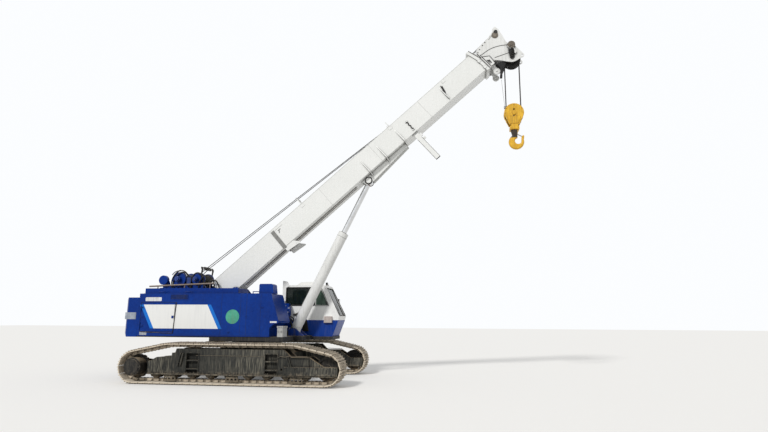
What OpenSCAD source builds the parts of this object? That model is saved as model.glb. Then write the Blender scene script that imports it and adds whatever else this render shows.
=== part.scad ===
// Crawler crane with a four-section telescopic boom, parked with the boom raised.
// +X points the way the boom does, +Y to the machine's left, and Z = 0 is the ground.
// The sub-parts are drawn about the swing axis, and place() moves them to the part's frame.

/* [Tracks] */
// Length of a track over its shoes
track_len = 6100; // [5600:10:6800]
// Height of the level top run over its shoes
track_h = 1075; // [1040:5:1180]
// Width of the shoes
shoe_w = 760; // [600:10:900]
// Distance between the middles of the two tracks
gauge = 3440; // [3200:10:3800]
// Radius that the chain runs on at the sprocket and the idler
wheel_r = 300; // [280:5:330]
// Height of the link chain under the shoe plates
chain_h = 85; // [70:1:95]
// Width of the link chain
chain_w = 240; // [200:5:280]
// Thickness of a shoe plate
shoe_t = 25; // [18:1:32]
// Height of a shoe's grouser
grouser_h = 30; // [20:1:40]
// Number of shoes on a track
shoe_count = 62; // [50:1:68]
// Width of a track frame
frame_w = 520; // [460:5:560]
// Height of the track frame's lower rail over the ground
rail_z = 250; // [235:5:265]
// Radius of a bottom roller
roller_r = 100; // [90:1:108]
// Number of bottom rollers on a track
roller_count = 9; // [6:1:10]
// Radius of the final drive's drum
drive_r = 235; // [200:5:250]
// Height of the footstep recesses in the track frame
step_h = 530; // [450:10:560]

/* [Carbody] */
// Height of the carbody's top, where the slewing ring sits
carbody_top = 900; // [860:5:930]
// Radius of the slewing ring
ring_r = 720; // [640:10:780]
// Height of the slewing ring
ring_h = 195; // [160:5:220]
// Distance of each cross beam's middle from the swing axis
beam_x = 820; // [760:10:840]

/* [Upper structure] */
// Thickness of the deck
deck_t = 120; // [90:5:140]
// Reach of the counterweight's back behind the swing axis
tail_x = 3400; // [3300:10:3600]
// Half the width of the deck and of the counterweight
half_w = 1400; // [1350:10:1450]
// Thickness of the counterweight
weight_t = 400; // [300:10:440]
// Height of the counterweight over the deck's top
weight_h = 1060; // [900:10:1150]
// Height of the engine hood over the deck
hood_h = 1170; // [1100:10:1250]
// Thickness of the hood's panels
hood_t = 40; // [25:1:50]
// Length of the hood's side door
hood_door_l = 1020; // [800:10:1200]
// Clearance between the boom's side and what stands beside it
boom_side_gap = 20; // [12:1:30]
// Thickness of the boom foot's carrier plates
carrier_t = 45; // [35:1:55]
// Radius of a winch drum's barrel
drum_r = 150; // [120:5:160]
// Radius of a winch drum's flanges
drum_flange_r = 230; // [200:5:240]

/* [Cab] */
// Width of the cab
cab_w = 950; // [900:10:980]
// Height of the cab over its floor line
cab_h = 1540; // [1480:10:1600]
// Thickness of the cab's walls
cab_t = 45; // [35:1:55]
// Thickness of a window pane
pane_t = 8; // [6:1:12]

/* [Boom] */
// Boom angle over level, as parked
boom_angle = 41.2; // [38:0.1:44]
// Outer width of the base section
boom_w = 620; // [600:5:640]
// Outer height of the base section
boom_d = 690; // [670:5:710]
// Length of the base section
base_len = 10560; // [10300:10:10700]
// Plate thickness of the sections
boom_t = 12; // [8:1:14]
// Step in width from one section to the next
step_w = 60; // [56:1:64]
// Step in height from one section to the next
step_d = 68; // [64:1:72]
// How far each section shows out of the one around it
peep = 25; // [25:5:90]
// Radius of the boom foot's pin
foot_pin_r = 75; // [60:1:85]
// Radius of the head sheaves' rope groove
groove_r = 205; // [195:1:215]
// Radius of the hoist rope
rope_r = 11; // [8:0.5:13]

/* [Lift cylinder] */
// Outer radius of the cylinder's barrel
barrel_r = 150; // [130:1:155]
// Length from the barrel's foot pin to the end of its gland
barrel_len = 3240; // [3200:10:3260]
// Radius of the rod
rod_r = 80; // [60:1:90]
// Length of the rod from its eye to the end of its piston
rod_len = 3284; // [3274:2:3294]

/* [Hook block] */
// Height of the lower sheaves' axis over the ground
block_z = 7780; // [7400:10:8200]
// Thickness of the block's side plates
cheek_t = 30; // [20:1:40]

/* [Hidden] */
$fn = 48;

// Frame of the part: the swing axis stands this far behind the middle of its box
swing_x = -2320;
seat = 0.3;      // gap between a piece and the round or moving seat that carries it
pin_gap = 0.1;   // radial clearance of a pin in its bore
run_gap = 6;     // least clearance between pieces that move

// Track run
half_len = track_len / 2;
outer_r = wheel_r + chain_h + shoe_t + grouser_h;
wheel_x = half_len - outer_r;
wheel_z = outer_r;
belt_r = wheel_r + chain_h;               // inner face of the shoe plates round a wheel
top_bend_r = 420;
top_bend_x = 1720;
top_bend_z = track_h - grouser_h - shoe_t - top_bend_r;
// Bends of the track, in running order: x, z, radius of the shoe plates' inner face
bends = [
    [-wheel_x, wheel_z, belt_r],
    [wheel_x, wheel_z, belt_r],
    [top_bend_x, top_bend_z, top_bend_r],
    [-top_bend_x + 60, top_bend_z, top_bend_r]
];

// Carbody and upper structure
deck_z = carbody_top + ring_h;            // underside of the deck
floor_z = deck_z + deck_t;                // top of the deck
track_y = gauge / 2;
frame_in_y = track_y - frame_w / 2;       // inner face of a track frame
frame_out_y = track_y + frame_w / 2;
carrier_y = boom_w / 2 + boom_side_gap;   // inner face of the carrier plates
hood_in_y = carrier_y + carrier_t + 40;   // inner side of the hood

// Boom, in its own frame: u runs along it from over the foot pin, v stands square to it
foot_x = -716;
foot_z = 2563;
pin_u = 50;                               // foot pin, under the base section's back end
pin_v = -110;
pin_x = foot_x + pin_u * cos(boom_angle) - pin_v * sin(boom_angle);
pin_z = foot_z + pin_u * sin(boom_angle) + pin_v * cos(boom_angle);
under_v = -90;                            // underside of the base section
tail_u = -380;                            // back end of the base section
base_end = tail_u + base_len;
collar_l = 100;
head_from = base_end + 3 * peep;          // where the head's plates begin
head_u = head_from + 675;                 // head sheaves' axis
head_v = -320;
nose_u = head_from + 885;                 // nose sheave's axis
nose_v = 630;
eye_u = 5197;                             // lift rod's eye
eye_v = -221;
mid_v = under_v + boom_d / 2;
head_x = foot_x + head_u * cos(boom_angle) - head_v * sin(boom_angle);
head_z = foot_z + head_u * sin(boom_angle) + head_v * cos(boom_angle);
eye_x = foot_x + eye_u * cos(boom_angle) - eye_v * sin(boom_angle);
eye_z = foot_z + eye_u * sin(boom_angle) + eye_v * cos(boom_angle);

// Lift cylinder
lug_x = 1140;
lug_z = 1340;
lift_angle = atan2(eye_z - lug_z, eye_x - lug_x);
lift_len = norm([eye_x - lug_x, eye_z - lug_z]);
well_y = barrel_r + 12;                   // half the width between the cylinder's lugs
lift_pin_r = 60;
piston_t = 50;
gland_t = 90;

// Hook block
fall_x = groove_r + rope_r + seat;        // rope to the side of a sheave's axis
fall_y = 60;                              // middle of each lower sheave
sheave_w = 56;
sheave_r = groove_r + 58;
block_bolt_r = 40;
trunnion_z = block_z - 505;               // underside of the block's trunnion
trunnion_h = 195;

module place() translate([swing_x, 0, 0]) children();

// A plate or bar with an outline in X and Z, from y0 to y1
module slab(outline, y0, y1) {
    translate([0, y1, 0]) rotate([90, 0, 0]) linear_extrude(y1 - y0) polygon(outline);
}

// A round bar along Y
module y_bar(r, y0, y1, x = 0, z = 0) {
    translate([x, y1, z]) rotate([90, 0, 0]) cylinder(r = r, h = y1 - y0);
}

module box(x0, x1, y0, y1, z0, z1) {
    translate([x0, y0, z0]) cube([x1 - x0, y1 - y0, z1 - z0]);
}

// A piece on both sides of the middle plane
module both_sides() {
    children();
    mirror([0, 1, 0]) children();
}

// The boom's own frame, with its origin over the foot pin
module on_boom() {
    translate([foot_x, 0, foot_z]) rotate([0, -boom_angle, 0]) children();
}

// The lift cylinder's frame: +X runs from the lug pin to the rod's eye
module on_lift() {
    translate([lug_x, 0, lug_z]) rotate([0, -lift_angle, 0]) children();
}

// Belt round the bends: straight runs and arcs, measured along the shoe plates' inner face
function unit(a) = [cos(a), sin(a)];
function bend(i) = bends[i % len(bends)];
function run_dir(i) = let (d = [bend(i + 1)[0] - bend(i)[0], bend(i + 1)[1] - bend(i)[1]])
    atan2(d[1], d[0]) - 90 + asin((bend(i)[2] - bend(i + 1)[2]) / norm(d));
function run_start(i) = [bend(i)[0], bend(i)[1]] + bend(i)[2] * unit(run_dir(i));
function run_end(i) = [bend(i + 1)[0], bend(i + 1)[1]] + bend(i + 1)[2] * unit(run_dir(i));
function run_len(i) = norm(run_end(i) - run_start(i));
function turn(i) = let (a = run_dir((i + 1) % len(bends)) - run_dir(i)) a - 360 * floor(a / 360);
function leg_len(i) = run_len(i) + bend(i + 1)[2] * turn(i) * PI / 180;
function legs_to(i) = i == 0 ? 0 : legs_to(i - 1) + leg_len(i - 1);
belt_len = legs_to(len(bends));
function belt_at(s, off, i = 0) = s >= leg_len(i) && i < len(bends) - 1
    ? belt_at(s - leg_len(i), off, i + 1)
    : s <= run_len(i)
        ? run_start(i) + (run_end(i) - run_start(i)) * s / run_len(i) + off * unit(run_dir(i))
        : let (a = run_dir(i) + (s - run_len(i)) / bend(i + 1)[2] * 180 / PI)
            [bend(i + 1)[0], bend(i + 1)[1]] + (bend(i + 1)[2] + off) * unit(a);

// One shoe's outline on the belt: share of the pitch, height over the plates' inner face
shoe_outline = [
    [0.02, shoe_t], [0.40, shoe_t], [0.45, shoe_t + grouser_h], [0.55, shoe_t + grouser_h],
    [0.60, shoe_t], [0.96, shoe_t], [0.99, shoe_t * 0.35]
];
pitch = belt_len / shoe_count;
shoe_points = [for (k = [0:shoe_count - 1], p = shoe_outline) belt_at((k + p[0]) * pitch, p[1])];
// A closed line round the bends, off from the plates' inner face, that never cuts inside its arcs
function bend_points(i, off) = let (n = ceil(turn(i - 1) / 12), a = turn(i - 1) / n,
    r = (bend(i)[2] + off) / cos(a / 2))
    [for (k = [0:n - 1]) [bend(i)[0], bend(i)[1]] + r * unit(run_dir(i - 1) + (k + 0.5) * a)];
function ring_points(off) = [for (i = [1:len(bends)], p = bend_points(i, off)) p];

module track(side) {
    color("tan") place() {
        difference() {
            slab(shoe_points, side * track_y - shoe_w / 2, side * track_y + shoe_w / 2);
            slab(ring_points(0), side * track_y - shoe_w, side * track_y + shoe_w);
        }
        difference() {
            slab(ring_points(2), side * track_y - chain_w / 2, side * track_y + chain_w / 2);
            slab(ring_points(-chain_h), side * track_y - chain_w, side * track_y + chain_w);
        }
    }
}

// Track frame: side plates, a closed box between them, step recesses and roller lugs
plate_t = 100;                            // side plate of a track frame
box_end_x = 2150;                         // ends of the box between the side plates
chain_top = track_h - grouser_h - shoe_t - chain_h;
carrier_r = 58;                           // rollers that carry the top run
box_top = chain_top - 2 * carrier_r - 14;
roller_z = grouser_h + shoe_t + chain_h + roller_r + seat;
roller_span = 4100;
roller_step = roller_span / (roller_count - 1);
shaft_r = 32;
step_x = [-985, 1168];                    // middles of the step recesses
step_w_x = 330;
step_z = 290;
guard_x = [-1600, 120, 1838];             // middles of the roller guards
plate_outline = [
    [-2230, rail_z], [2930, rail_z], [2930, 504], [2544, 504], [2176, 730], [1690, 730], [1500,
    box_top + 110],
    [-1450, box_top + 110], [-1500, 730], [-2000, 690], [-2230, 560]
];

module roller_stations() for (k = [0:roller_count - 1]) translate([k * roller_step - roller_span / 2,
    0, 0]) children();

module track_frame(side) {
    y_out = track_y + frame_w / 2;
    y_in = track_y - frame_w / 2;
    color("dimgray") place() scale([1, side, 1]) difference() {
        union() {
            slab(plate_outline, y_out - plate_t, y_out);
            slab(plate_outline, y_in, y_in + plate_t);
            box(-2230, box_end_x, y_in, y_out, rail_z + 110, 590);
            box(-1570, 1500, y_in, y_out, rail_z + 110, box_top);
            // drive mount at the back, inside the sprocket
            slab([[-2240, rail_z], [-2200, rail_z], [-2200, 590], [-2600, 620], [-2760, 520], [-2760, 330]],
                y_in, y_in + plate_t);
            // roller lugs under both side plates
            roller_stations() for (y = [y_out - plate_t, y_in + plate_t - 60])
                slab([[-110, rail_z], [110, rail_z], [70, roller_z - 55], [-70, roller_z - 55]], y, y + 60);
            // low box and ledge ahead of the tall part, and the rail's lip
            slab([[1496, rail_z + 36], [2925, rail_z + 36], [2925, 494], [1496, 494]], y_out - 1,
                y_out + 55);
            box(1690, 2176, y_out - 1, y_out + 40, 718, 730);
            box(-2230, 2930, y_out - 1, y_out + 30, rail_z, rail_z + 26);
            // slanted stiffeners at both ends of the tall part
            slab([[1560, 770], [1590, 770], [1676, 493], [1646, 493]], y_out - 1, y_out + 45);
            slab([[1606, 770], [1636, 770], [1721, 493], [1691, 493]], y_out - 1, y_out + 45);
            slab([[-1330, 800], [-1290, 800], [-1360, 480], [-1400, 480]], y_out - 1, y_out + 45);
            slab([[-1260, 800], [-1220, 800], [-1290, 480], [-1330, 480]], y_out - 1, y_out + 45);
            box(2150, 2170, y_out - 1, y_out + 30, 493, 725);
            // frames of the step recesses
            for (x = step_x) difference() {
                box(x - step_w_x / 2 - 22, x + step_w_x / 2 + 22, y_out - 1, y_out + 14, step_z - 20,
                    step_z + step_h);
                box(x - step_w_x / 2, x + step_w_x / 2, y_out - 30, y_out + 30, step_z,
                    step_z + step_h - 20);
            }
            // guards beside the bottom rollers
            for (x = guard_x) difference() {
                slab([[x - 180, 82], [x + 180, 82], [x + 150, rail_z + 5], [x - 150, rail_z + 5]],
                    y_out - 50, y_out - 20);
                for (k = [-1, 0, 1]) box(x + k * 105 - 32, x + k * 105 + 32, y_out - 60, y_out - 10,
                    128, 176);
            }
        }
        for (x = step_x)
            box(x - step_w_x / 2, x + step_w_x / 2, y_out - plate_t + 12, y_out + 40, step_z,
                step_z + step_h - 20);
        box(1425, 1470, y_out - plate_t + 30, y_out + 5, 400, 450);
    }
    color("gray") place() scale([1, side, 1]) for (x = step_x, z = [385, 600])
        box(x - step_w_x / 2 - 1, x + step_w_x / 2 + 1, y_out - plate_t + 11, y_out + 8, z, z + 28);
}

module rollers(side) {
    y_in = track_y - frame_w / 2 + plate_t + seat;
    y_out = track_y + frame_w / 2 - plate_t - seat;
    top_z = chain_top - carrier_r - seat;
    color("black") place() scale([1, side, 1]) {
        roller_stations() translate([0, 0, roller_z]) {
            y_bar(shaft_r, y_in, y_out);
            y_bar(roller_r, track_y - chain_w / 2 - 20, track_y + chain_w / 2 + 20);
        }
        // carrier rollers on their stands
        for (x = [-1000, 250, 1350]) {
            y_bar(carrier_r, track_y - chain_w / 2 - 20, track_y + chain_w / 2 + 20, x, top_z);
            y_bar(24, track_y - 152, track_y + 152, x, top_z);
            for (y = [track_y - 154, track_y + 132]) box(x - 40, x + 40, y, y + 22, box_top + seat,
                top_z + 30);
        }
    }
}

// Final drive: a drum outside, the toothed sprocket between the frame's plates
teeth = 14;
drive_y = track_y + shoe_w / 2 + 20;      // outer face of the drive's cover
tooth_pitch = 360 / teeth;
module final_drive(side) {
    y_back = track_y - frame_w / 2 + plate_t + seat;
    color("dimgray") place() scale([1, side, 1]) translate([-wheel_x, 0, wheel_z]) {
        y_bar(wheel_r - 70, y_back, track_y + 40);
        y_bar(drive_r, track_y + 40, drive_y - 22);
        y_bar(drive_r - 45, drive_y - 23, drive_y);
        for (k = [0:15]) rotate([0, k * 22.5, 0]) y_bar(12, drive_y - 23, drive_y - 10, drive_r - 22, 0);
        difference() {
            y_bar(wheel_r - seat, track_y - 45, track_y + 45);
            for (k = [0:teeth - 1]) rotate([0, k * tooth_pitch, 0])
                y_bar(26, track_y - 60, track_y + 60, wheel_r + 2, 0);
        }
    }
}

module idler(side) {
    y_in = track_y - frame_w / 2 + plate_t + seat;
    y_out = track_y + frame_w / 2 - plate_t - seat;
    color("dimgray") place() scale([1, side, 1]) translate([wheel_x, 0, wheel_z]) {
        difference() {
            y_bar(wheel_r - seat, track_y - 100, track_y + 100);
            for (y = [track_y - 101, track_y + 61]) difference() {
                y_bar(wheel_r - 50, y, y + 40);
                y_bar(110, y - 1, y + 41);
            }
        }
        y_bar(60, y_in, y_out);
    }
}

// Towing lugs on the carbody's ends
tow_bore_r = 36;
tow_t = 60;
tow_x = beam_x + 180 + 75;
tow_z = 520;
centre_r = 260;                           // open middle of the carbody and the deck
module carbody() {
    color("dimgray") place() difference() {
        union() {
            slab([[-beam_x - 180, 380], [beam_x + 180, 380], [beam_x + 180, 700], [760, carbody_top],
                [-760, carbody_top], [-beam_x - 180, 700]], -780, 780);
            for (x = [-beam_x, beam_x]) {
                box(x - 180, x + 180, -frame_in_y, frame_in_y, 380, 700);
                both_sides() slab([[x - 180, 380], [x + 180, 380], [x + 180, 700], [x, 860], [x - 180,
                    700]],
                    frame_in_y - 90, frame_in_y);
            }
            for (s = [-1, 1]) {
                translate([s * tow_x, 0, tow_z - tow_t / 2]) cylinder(r = tow_bore_r + 35, h = tow_t);
                box(min(s * tow_x, s * 900), max(s * tow_x, s * 900), -tow_bore_r - 35, tow_bore_r + 35,
                    tow_z - tow_t / 2, tow_z + tow_t / 2);
            }
        }
        cylinder(r = centre_r, h = 2000);
        for (s = [-1, 1]) translate([s * tow_x, 0, tow_z - 100]) cylinder(r = tow_bore_r, h = 200);
    }
}

module slew_ring() {
    color("black") place() difference() {
        translate([0, 0, carbody_top]) union() {
            cylinder(r = ring_r, h = ring_h * 0.42);
            cylinder(r = ring_r - 60, h = ring_h - seat);
        }
        cylinder(r = ring_r - 170, h = 2000);
    }
}

// Deck: plate with the open well for the lift cylinder, its lugs and the front girders
deck_front_x = 1560;
near_front_x = 1250;
rear_t = 30;                              // the deck's plate behind its deep part
deep_x = -850;
module deck() {
    color("black") place() difference() {
        union() {
            box(-tail_x + weight_t, deep_x + 1, -half_w + 20, half_w - 20, floor_z - rear_t, floor_z);
            box(deep_x, 900, -half_w + 20, half_w - 20, deck_z, floor_z);
            both_sides() box(850, deck_front_x, well_y, hood_in_y, deck_z, floor_z);
            box(850, near_front_x, -half_w + 20, -hood_in_y + 10, deck_z, floor_z);
            box(850, cab_back + 1600, hood_in_y - 10, half_w - 20, deck_z, cab_z);
            cylinder_lugs();
            // ring seat
            translate([0, 0, deck_z - ring_h * 0.5]) cylinder(r = ring_r, h = ring_h * 0.5 + 10);
        }
        translate([0, 0, deck_z - ring_h]) cylinder(r = ring_r - 55, h = ring_h);
        translate([0, 0, deck_z - 1]) cylinder(r = centre_r, h = deck_t + 20);
        // lower stand of the cab
        box(cab_back - 5, 2400, cab_in_y - 35, half_w, cab_z, floor_z + 10);
    }
}

module cylinder_lugs() {
    both_sides() slab([[lug_x - 260, floor_z - 20], [lug_x + 380, floor_z - 20], [lug_x + 80, lug_z + 90],
        [lug_x - 60, lug_z + 95], [lug_x - 130, lug_z + 40]], well_y, well_y + 40);
    // pin covers on the lugs' outer faces
    both_sides() y_bar(lift_pin_r + 15, well_y + 30, well_y + 58, lug_x, lug_z);
}

// Carrier plates of the boom foot and of the winches behind it
carrier_outline = [
    [-2990, floor_z], [900, floor_z], [900, 1420], [250, 1700], [pin_x + 230, pin_z - 80],
    [pin_x + 108, pin_z + 70], [pin_x + 40, pin_z + 108], [pin_x - 40, pin_z + 108], [pin_x - 108,
    pin_z + 70],
    [pin_x - 240, pin_z - 40], [-1480, 2540], [-1620, 2700], [-2650, 2700], [-2990, 2350]
];
winch_x = [-2385, -1825];
winch_z = 2855;
module boom_carrier() {
    color("royalblue") place() difference() {
        union() {
            both_sides() slab(carrier_outline, carrier_y, carrier_y + carrier_t);
            both_sides() for (x = winch_x)
                y_bar(drum_flange_r * 0.7, carrier_y, carrier_y + carrier_t, x, winch_z);
            // web between the plates behind the boom
            box(-2900, -2860, -carrier_y, carrier_y, floor_z, 2300);
            box(-1600, -1560, -carrier_y, carrier_y, floor_z, 2200);
            // round covers of the winch drives on the outer faces
            for (x = winch_x) y_bar(drum_flange_r * (x == winch_x[0] ? 0.92 : 0.64),
                -carrier_y - carrier_t - 70, -carrier_y - carrier_t, x, winch_z);
            // hose reel on the near plate
            y_bar(140, -carrier_y - carrier_t - 110, -carrier_y - carrier_t + 1, -2868, 2830);
            slab([[-2900, 2340], [-2600, 2340], [-2735, 2800], [-2868, 2860], [-2940, 2820]],
                -carrier_y - carrier_t, -carrier_y);
        }
        both_sides() y_bar(foot_pin_r + pin_gap, carrier_y - 10, carrier_y + carrier_t + 10, pin_x, pin_z);
        both_sides() y_bar(60 + pin_gap, carrier_y - 1, carrier_y + carrier_t / 2, winch_x[0], winch_z);
        both_sides() y_bar(60 + pin_gap, carrier_y - 1, carrier_y + carrier_t / 2, winch_x[1], winch_z);
        // lightening holes
        both_sides() for (x = [-2300, -1250, -350]) y_bar(170, carrier_y - 10,
            carrier_y + carrier_t + 10, x, 1750);
    }
}

// A winch drum between the carrier plates
module winch(x, flange_r) {
    color("royalblue") place() translate([x, 0, winch_z]) {
        y_bar(drum_r, -carrier_y + 30, carrier_y - 30);
        both_sides() y_bar(flange_r, carrier_y - 45, carrier_y - 20);
        y_bar(60, -carrier_y - carrier_t / 2 + 1, carrier_y + carrier_t / 2 - 1);
    }
}

lift_eye_r = 30;                          // lifting eyes on the counterweight
weight_top = floor_z + weight_h;
module counterweight() {
    back = -tail_x;
    front = -tail_x + weight_t;
    color("royalblue") place() difference() {
        union() {
            slab([[back + 90, floor_z - rear_t], [front, floor_z - rear_t], [front, weight_top],
                [back + 40, weight_top], [back, weight_top - 50], [back, floor_z + 70]], -half_w, half_w);
            for (y = [-700, 700]) difference() {
                box(back + 130, back + 270, y - 20, y + 20, weight_top - 5, weight_top + 110);
                y_bar(lift_eye_r, y - 30, y + 30, back + 200, weight_top + 60);
            }
        }
        for (s = [-1, 1]) translate([back - 10, s * half_w, 0]) rotate([0, 0, s * 45])
            translate([-60, -60, 0]) cube([120, 120, 6000]);
    }
}

// Engine hood on the near side: a thin shell, open at its door and at its grille
hood_rear = -tail_x + weight_t + 2;
hood_top = floor_z + hood_h;
hood_outline = [
    [hood_rear, floor_z], [868, floor_z], [868, 1450], [985, 1562], [1100, 1580], [1118, 1645],
    [884, hood_top - 15], [850, hood_top], [hood_rear, hood_top]
];
hood_inner = [
    [hood_rear + hood_t, floor_z - 1], [868 - hood_t, floor_z - 1], [868 - hood_t, 1467], [968, 1603],
    [1066, 1618], [1074, 1640], [849, hood_top - hood_t], [hood_rear + hood_t, hood_top - hood_t]
];
hood_door_x = -2930;                      // hinge edge of the hood door
hood_door_z = 1330;
hood_door_h = 810;
hood_hinge_z = [hood_door_z + 160, hood_door_z + hood_door_h - 160];
module hood() {
    color("royalblue") place() difference() {
        union() {
            slab(hood_outline, -half_w, -hood_in_y);
            box(hood_rear, -180, -1150, -hood_in_y, hood_top - 5, hood_top + 160);
            // louvres stand on the raised roof
            for (x = [-2600:120:-1700]) box(x, x + 70, -1090, -660, hood_top + 155, hood_top + 178);
        }
        slab(hood_inner, -half_w + hood_t, -hood_in_y - hood_t);
        box(hood_door_x, hood_door_x + hood_door_l, -half_w - 10, -half_w + hood_t + 10,
            hood_door_z, hood_door_z + hood_door_h);
        // side grille behind its slats
        // front grille, between its bars
        for (k = [0:7]) translate([884, 0, hood_top - 15]) rotate([0, 17.8, 0])
            box(-60, 20, -half_w + 120, -hood_in_y - 120, -120 - 75 * k, -80 - 75 * k);
        for (z = [2215:32:2350]) box(-2070, -1840, -half_w - 10, -half_w + hood_t + 10, z, z + 18);
    }
    color("royalblue") place() for (z = hood_hinge_z) frame_hinge(hood_door_x, -half_w, -1, z);
}

// Light-grey battery box in the hood's front recess
module battery_box() {
    color("silver") place() union() {
        box(near_front_x - 165, near_front_x - 10, -half_w + 30, -1010, floor_z, floor_z + 275);
        box(near_front_x - 175, near_front_x, -half_w + 22, -1002, floor_z + 240, floor_z + 290);
    }
}

// Door hinge standing on a face at y, with s the side that it stands out to
hinge_r = 14;
hinge_pin_r = 7;
hinge_h = 60;
module frame_hinge(x, face, s, z) {
    y = face + s * (hinge_r + 1);
    for (z0 = [z - 1.5 * hinge_h, z + 0.5 * hinge_h + 1]) {
        translate([x, y, z0]) cylinder(r = hinge_r, h = hinge_h - 1);
        box(x - 55, x - 3, min(face - s, face + s * 8), max(face - s, face + s * 8), z0, z0 + hinge_h - 1);
    }
    translate([x, y, z - 1.4 * hinge_h]) cylinder(r = hinge_pin_r, h = 2.8 * hinge_h);
}
module leaf_hinge(x, face, s, z) {
    y = face + s * (hinge_r + 1);
    difference() {
        union() {
            translate([x, y, z - hinge_h / 2 + 1]) cylinder(r = hinge_r, h = hinge_h - 2);
            box(x + 3, x + 95, min(face - s, face + s * 8), max(face - s, face + s * 8),
                z - hinge_h / 2 + 1, z + hinge_h / 2 - 1);
        }
        translate([x, y, z - hinge_h]) cylinder(r = hinge_pin_r + pin_gap, h = 2 * hinge_h);
    }
}

// Door leaf with its hinges on the back edge
module hood_door() {
    gap = run_gap;
    color("royalblue") place() {
        box(hood_door_x + gap, hood_door_x + hood_door_l - gap, -half_w, -half_w + hood_t,
            hood_door_z + gap, hood_door_z + hood_door_h - gap);
        for (z = hood_hinge_z) leaf_hinge(hood_door_x, -half_w, -1, z);
    }
}

module engine() {
    color("gray") place() union() {
        box(-2600, -900, -1230, -620, floor_z, floor_z + 250);
        box(-2450, -1000, -1150, -700, floor_z + 240, floor_z + 820);
    }
}

module air_intake() {
    color("royalblue") place() difference() {
        slab([[470, hood_top], [890, hood_top], [860, hood_top + 240], [820, hood_top + 270],
            [500, hood_top + 270], [470, hood_top + 240]], -1250, -900);
        for (y = [-1220:60:-950]) box(440, 490, y, y + 30, hood_top + 60, hood_top + 210);
    }
}

module hood_rail() {
    rail_x = hood_rear - 220;
    rail_z0 = hood_top + 250;
    tilt = 2.3;
    color("saddlebrown") place() union() {
        translate([rail_x, -600, rail_z0]) rotate([0, 90 - tilt, 0]) cylinder(r = 24, h = 2040);
        for (x = [-2950, -2100, -1300]) translate([x, -600, hood_top + 160])
            cylinder(r = 16, h = rail_z0 - hood_top - 160 + (x - rail_x) * tan(tilt));
    }
}

tank_x = hood_rear + 1165;                // joint between the two tanks
fuel_top = floor_z + 765;
module hydraulic_tank() {
    color("royalblue") place() union() {
        slab([[hood_rear + 18, floor_z], [tank_x - 15, floor_z], [tank_x - 15, weight_top - 95],
            [tank_x - 95, weight_top - 15], [hood_rear + 98, weight_top - 15], [hood_rear + 18,
            weight_top - 95]],
            hood_in_y, half_w);
        translate([tank_x - 560, 900, weight_top - 25]) cylinder(r = 90, h = 60);
    }
}

module fuel_tank() {
    color("royalblue") place() union() {
        slab([[tank_x + 13, floor_z], [tank_x + 1583, floor_z], [tank_x + 1583, fuel_top - 80],
            [tank_x + 1503, fuel_top], [tank_x + 93, fuel_top], [tank_x + 13, fuel_top - 80]],
            hood_in_y, half_w);
        translate([tank_x + 1233, 1150, fuel_top - 10]) cylinder(r = 60, h = 60);
    }
}

// Cab: hollow shell with its windows and door opening cut
cab_in_y = 450;
cab_out_y = cab_in_y + cab_w;
cab_z = deck_z + deck_t - 30;             // cab floor's underside
cab_top = cab_z + cab_h;
cab_back = 600;
nose_z = cab_z + 470;                     // front corner under the windscreen
screen_z = cab_z + 620;                   // windscreen's lower edge
cab_outline = [
    [cab_back, cab_z], [2175, cab_z], [2350, nose_z], [2380, screen_z - 20], [1925, cab_top - 25],
    [1870, cab_top], [cab_back + 40, cab_top], [cab_back, cab_top - 40]
];
cab_inner = [
    [cab_back + cab_t, cab_z + cab_t], [2138, cab_z + cab_t], [2302, nose_z + 5], [2328, screen_z - 25],
    [1890, cab_top - cab_t - 20], [cab_back + cab_t, cab_top - cab_t]
];
window_z = cab_z + 930;                   // lower and upper edges of the side windows
window_top = cab_top - 90;
post_x = [1600, 1640];                    // post of the near side's window
side_window = [
    [700, window_z], [2035, window_z], [1778, window_top], [700, window_top]
];
door_x0 = 760;
door_x1 = 1760;
door_z0 = cab_z + 90;
door_z1 = cab_top - 100;
door_hinge_z = [door_z0 + 190, door_z1 - 190];
quarter_window = [[1815, window_z], [2035, window_z], [1830, window_top - 60], [1815, window_top - 60]];
module cab_shell() {
    color("white") place() difference() {
        union() {
            slab(cab_outline, cab_in_y, cab_out_y);
            // roof unit and the lamps over the windscreen
            slab([[950, cab_top - 5], [1120, cab_top + 95], [1560, cab_top + 115], [1650,
                cab_top - 5]], 620, 1230);
            for (y = [560, 1290]) box(1740, 1820, y - 60, y + 60, cab_top - 5, cab_top + 60);
            // corner plate that stands over the roof
            slab([[cab_back - 20, cab_z + 1048], [cab_back + 85, cab_z + 1048], [cab_back + 88,
                window_top + 5],
                [cab_back + 190, cab_top - 35], [cab_back + 125, cab_top + 107], [cab_back - 20,
                cab_top + 133]],
                cab_in_y - 14, cab_in_y + 20);
            // box on the near wall
            box(1910, 2160, cab_in_y - 60, cab_in_y + 1, 1580, 1790);
        }
        slab(cab_inner, cab_in_y + cab_t, cab_out_y - cab_t);
        // side window of the near wall, split by its post
        difference() {
            slab(side_window, cab_in_y - 20, cab_in_y + cab_t + 10);
            box(post_x[0], post_x[1], cab_in_y - 30, cab_in_y + cab_t + 20, window_z - 80, cab_top);
        }
        // windscreen and rear window
        box(1700, 2500, cab_in_y + 70, cab_out_y - 70, screen_z, cab_top - 90);
        box(cab_back - 50, cab_back + cab_t + 10, cab_in_y + 120, cab_out_y - 120, window_z - 130,
            window_top - 40);
        box(door_x0, door_x1, cab_out_y - cab_t - 10, cab_out_y + 20, door_z0, door_z1);
        // far side window ahead of the door
        slab(quarter_window, cab_out_y - cab_t - 10, cab_out_y + 20);
    }
    color("white") place() for (z = door_hinge_z) frame_hinge(door_x0, cab_out_y, 1, z);
}

// Panes set into the window cut-outs, clear of their edges by the seal's width
seal = 0.3;
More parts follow.
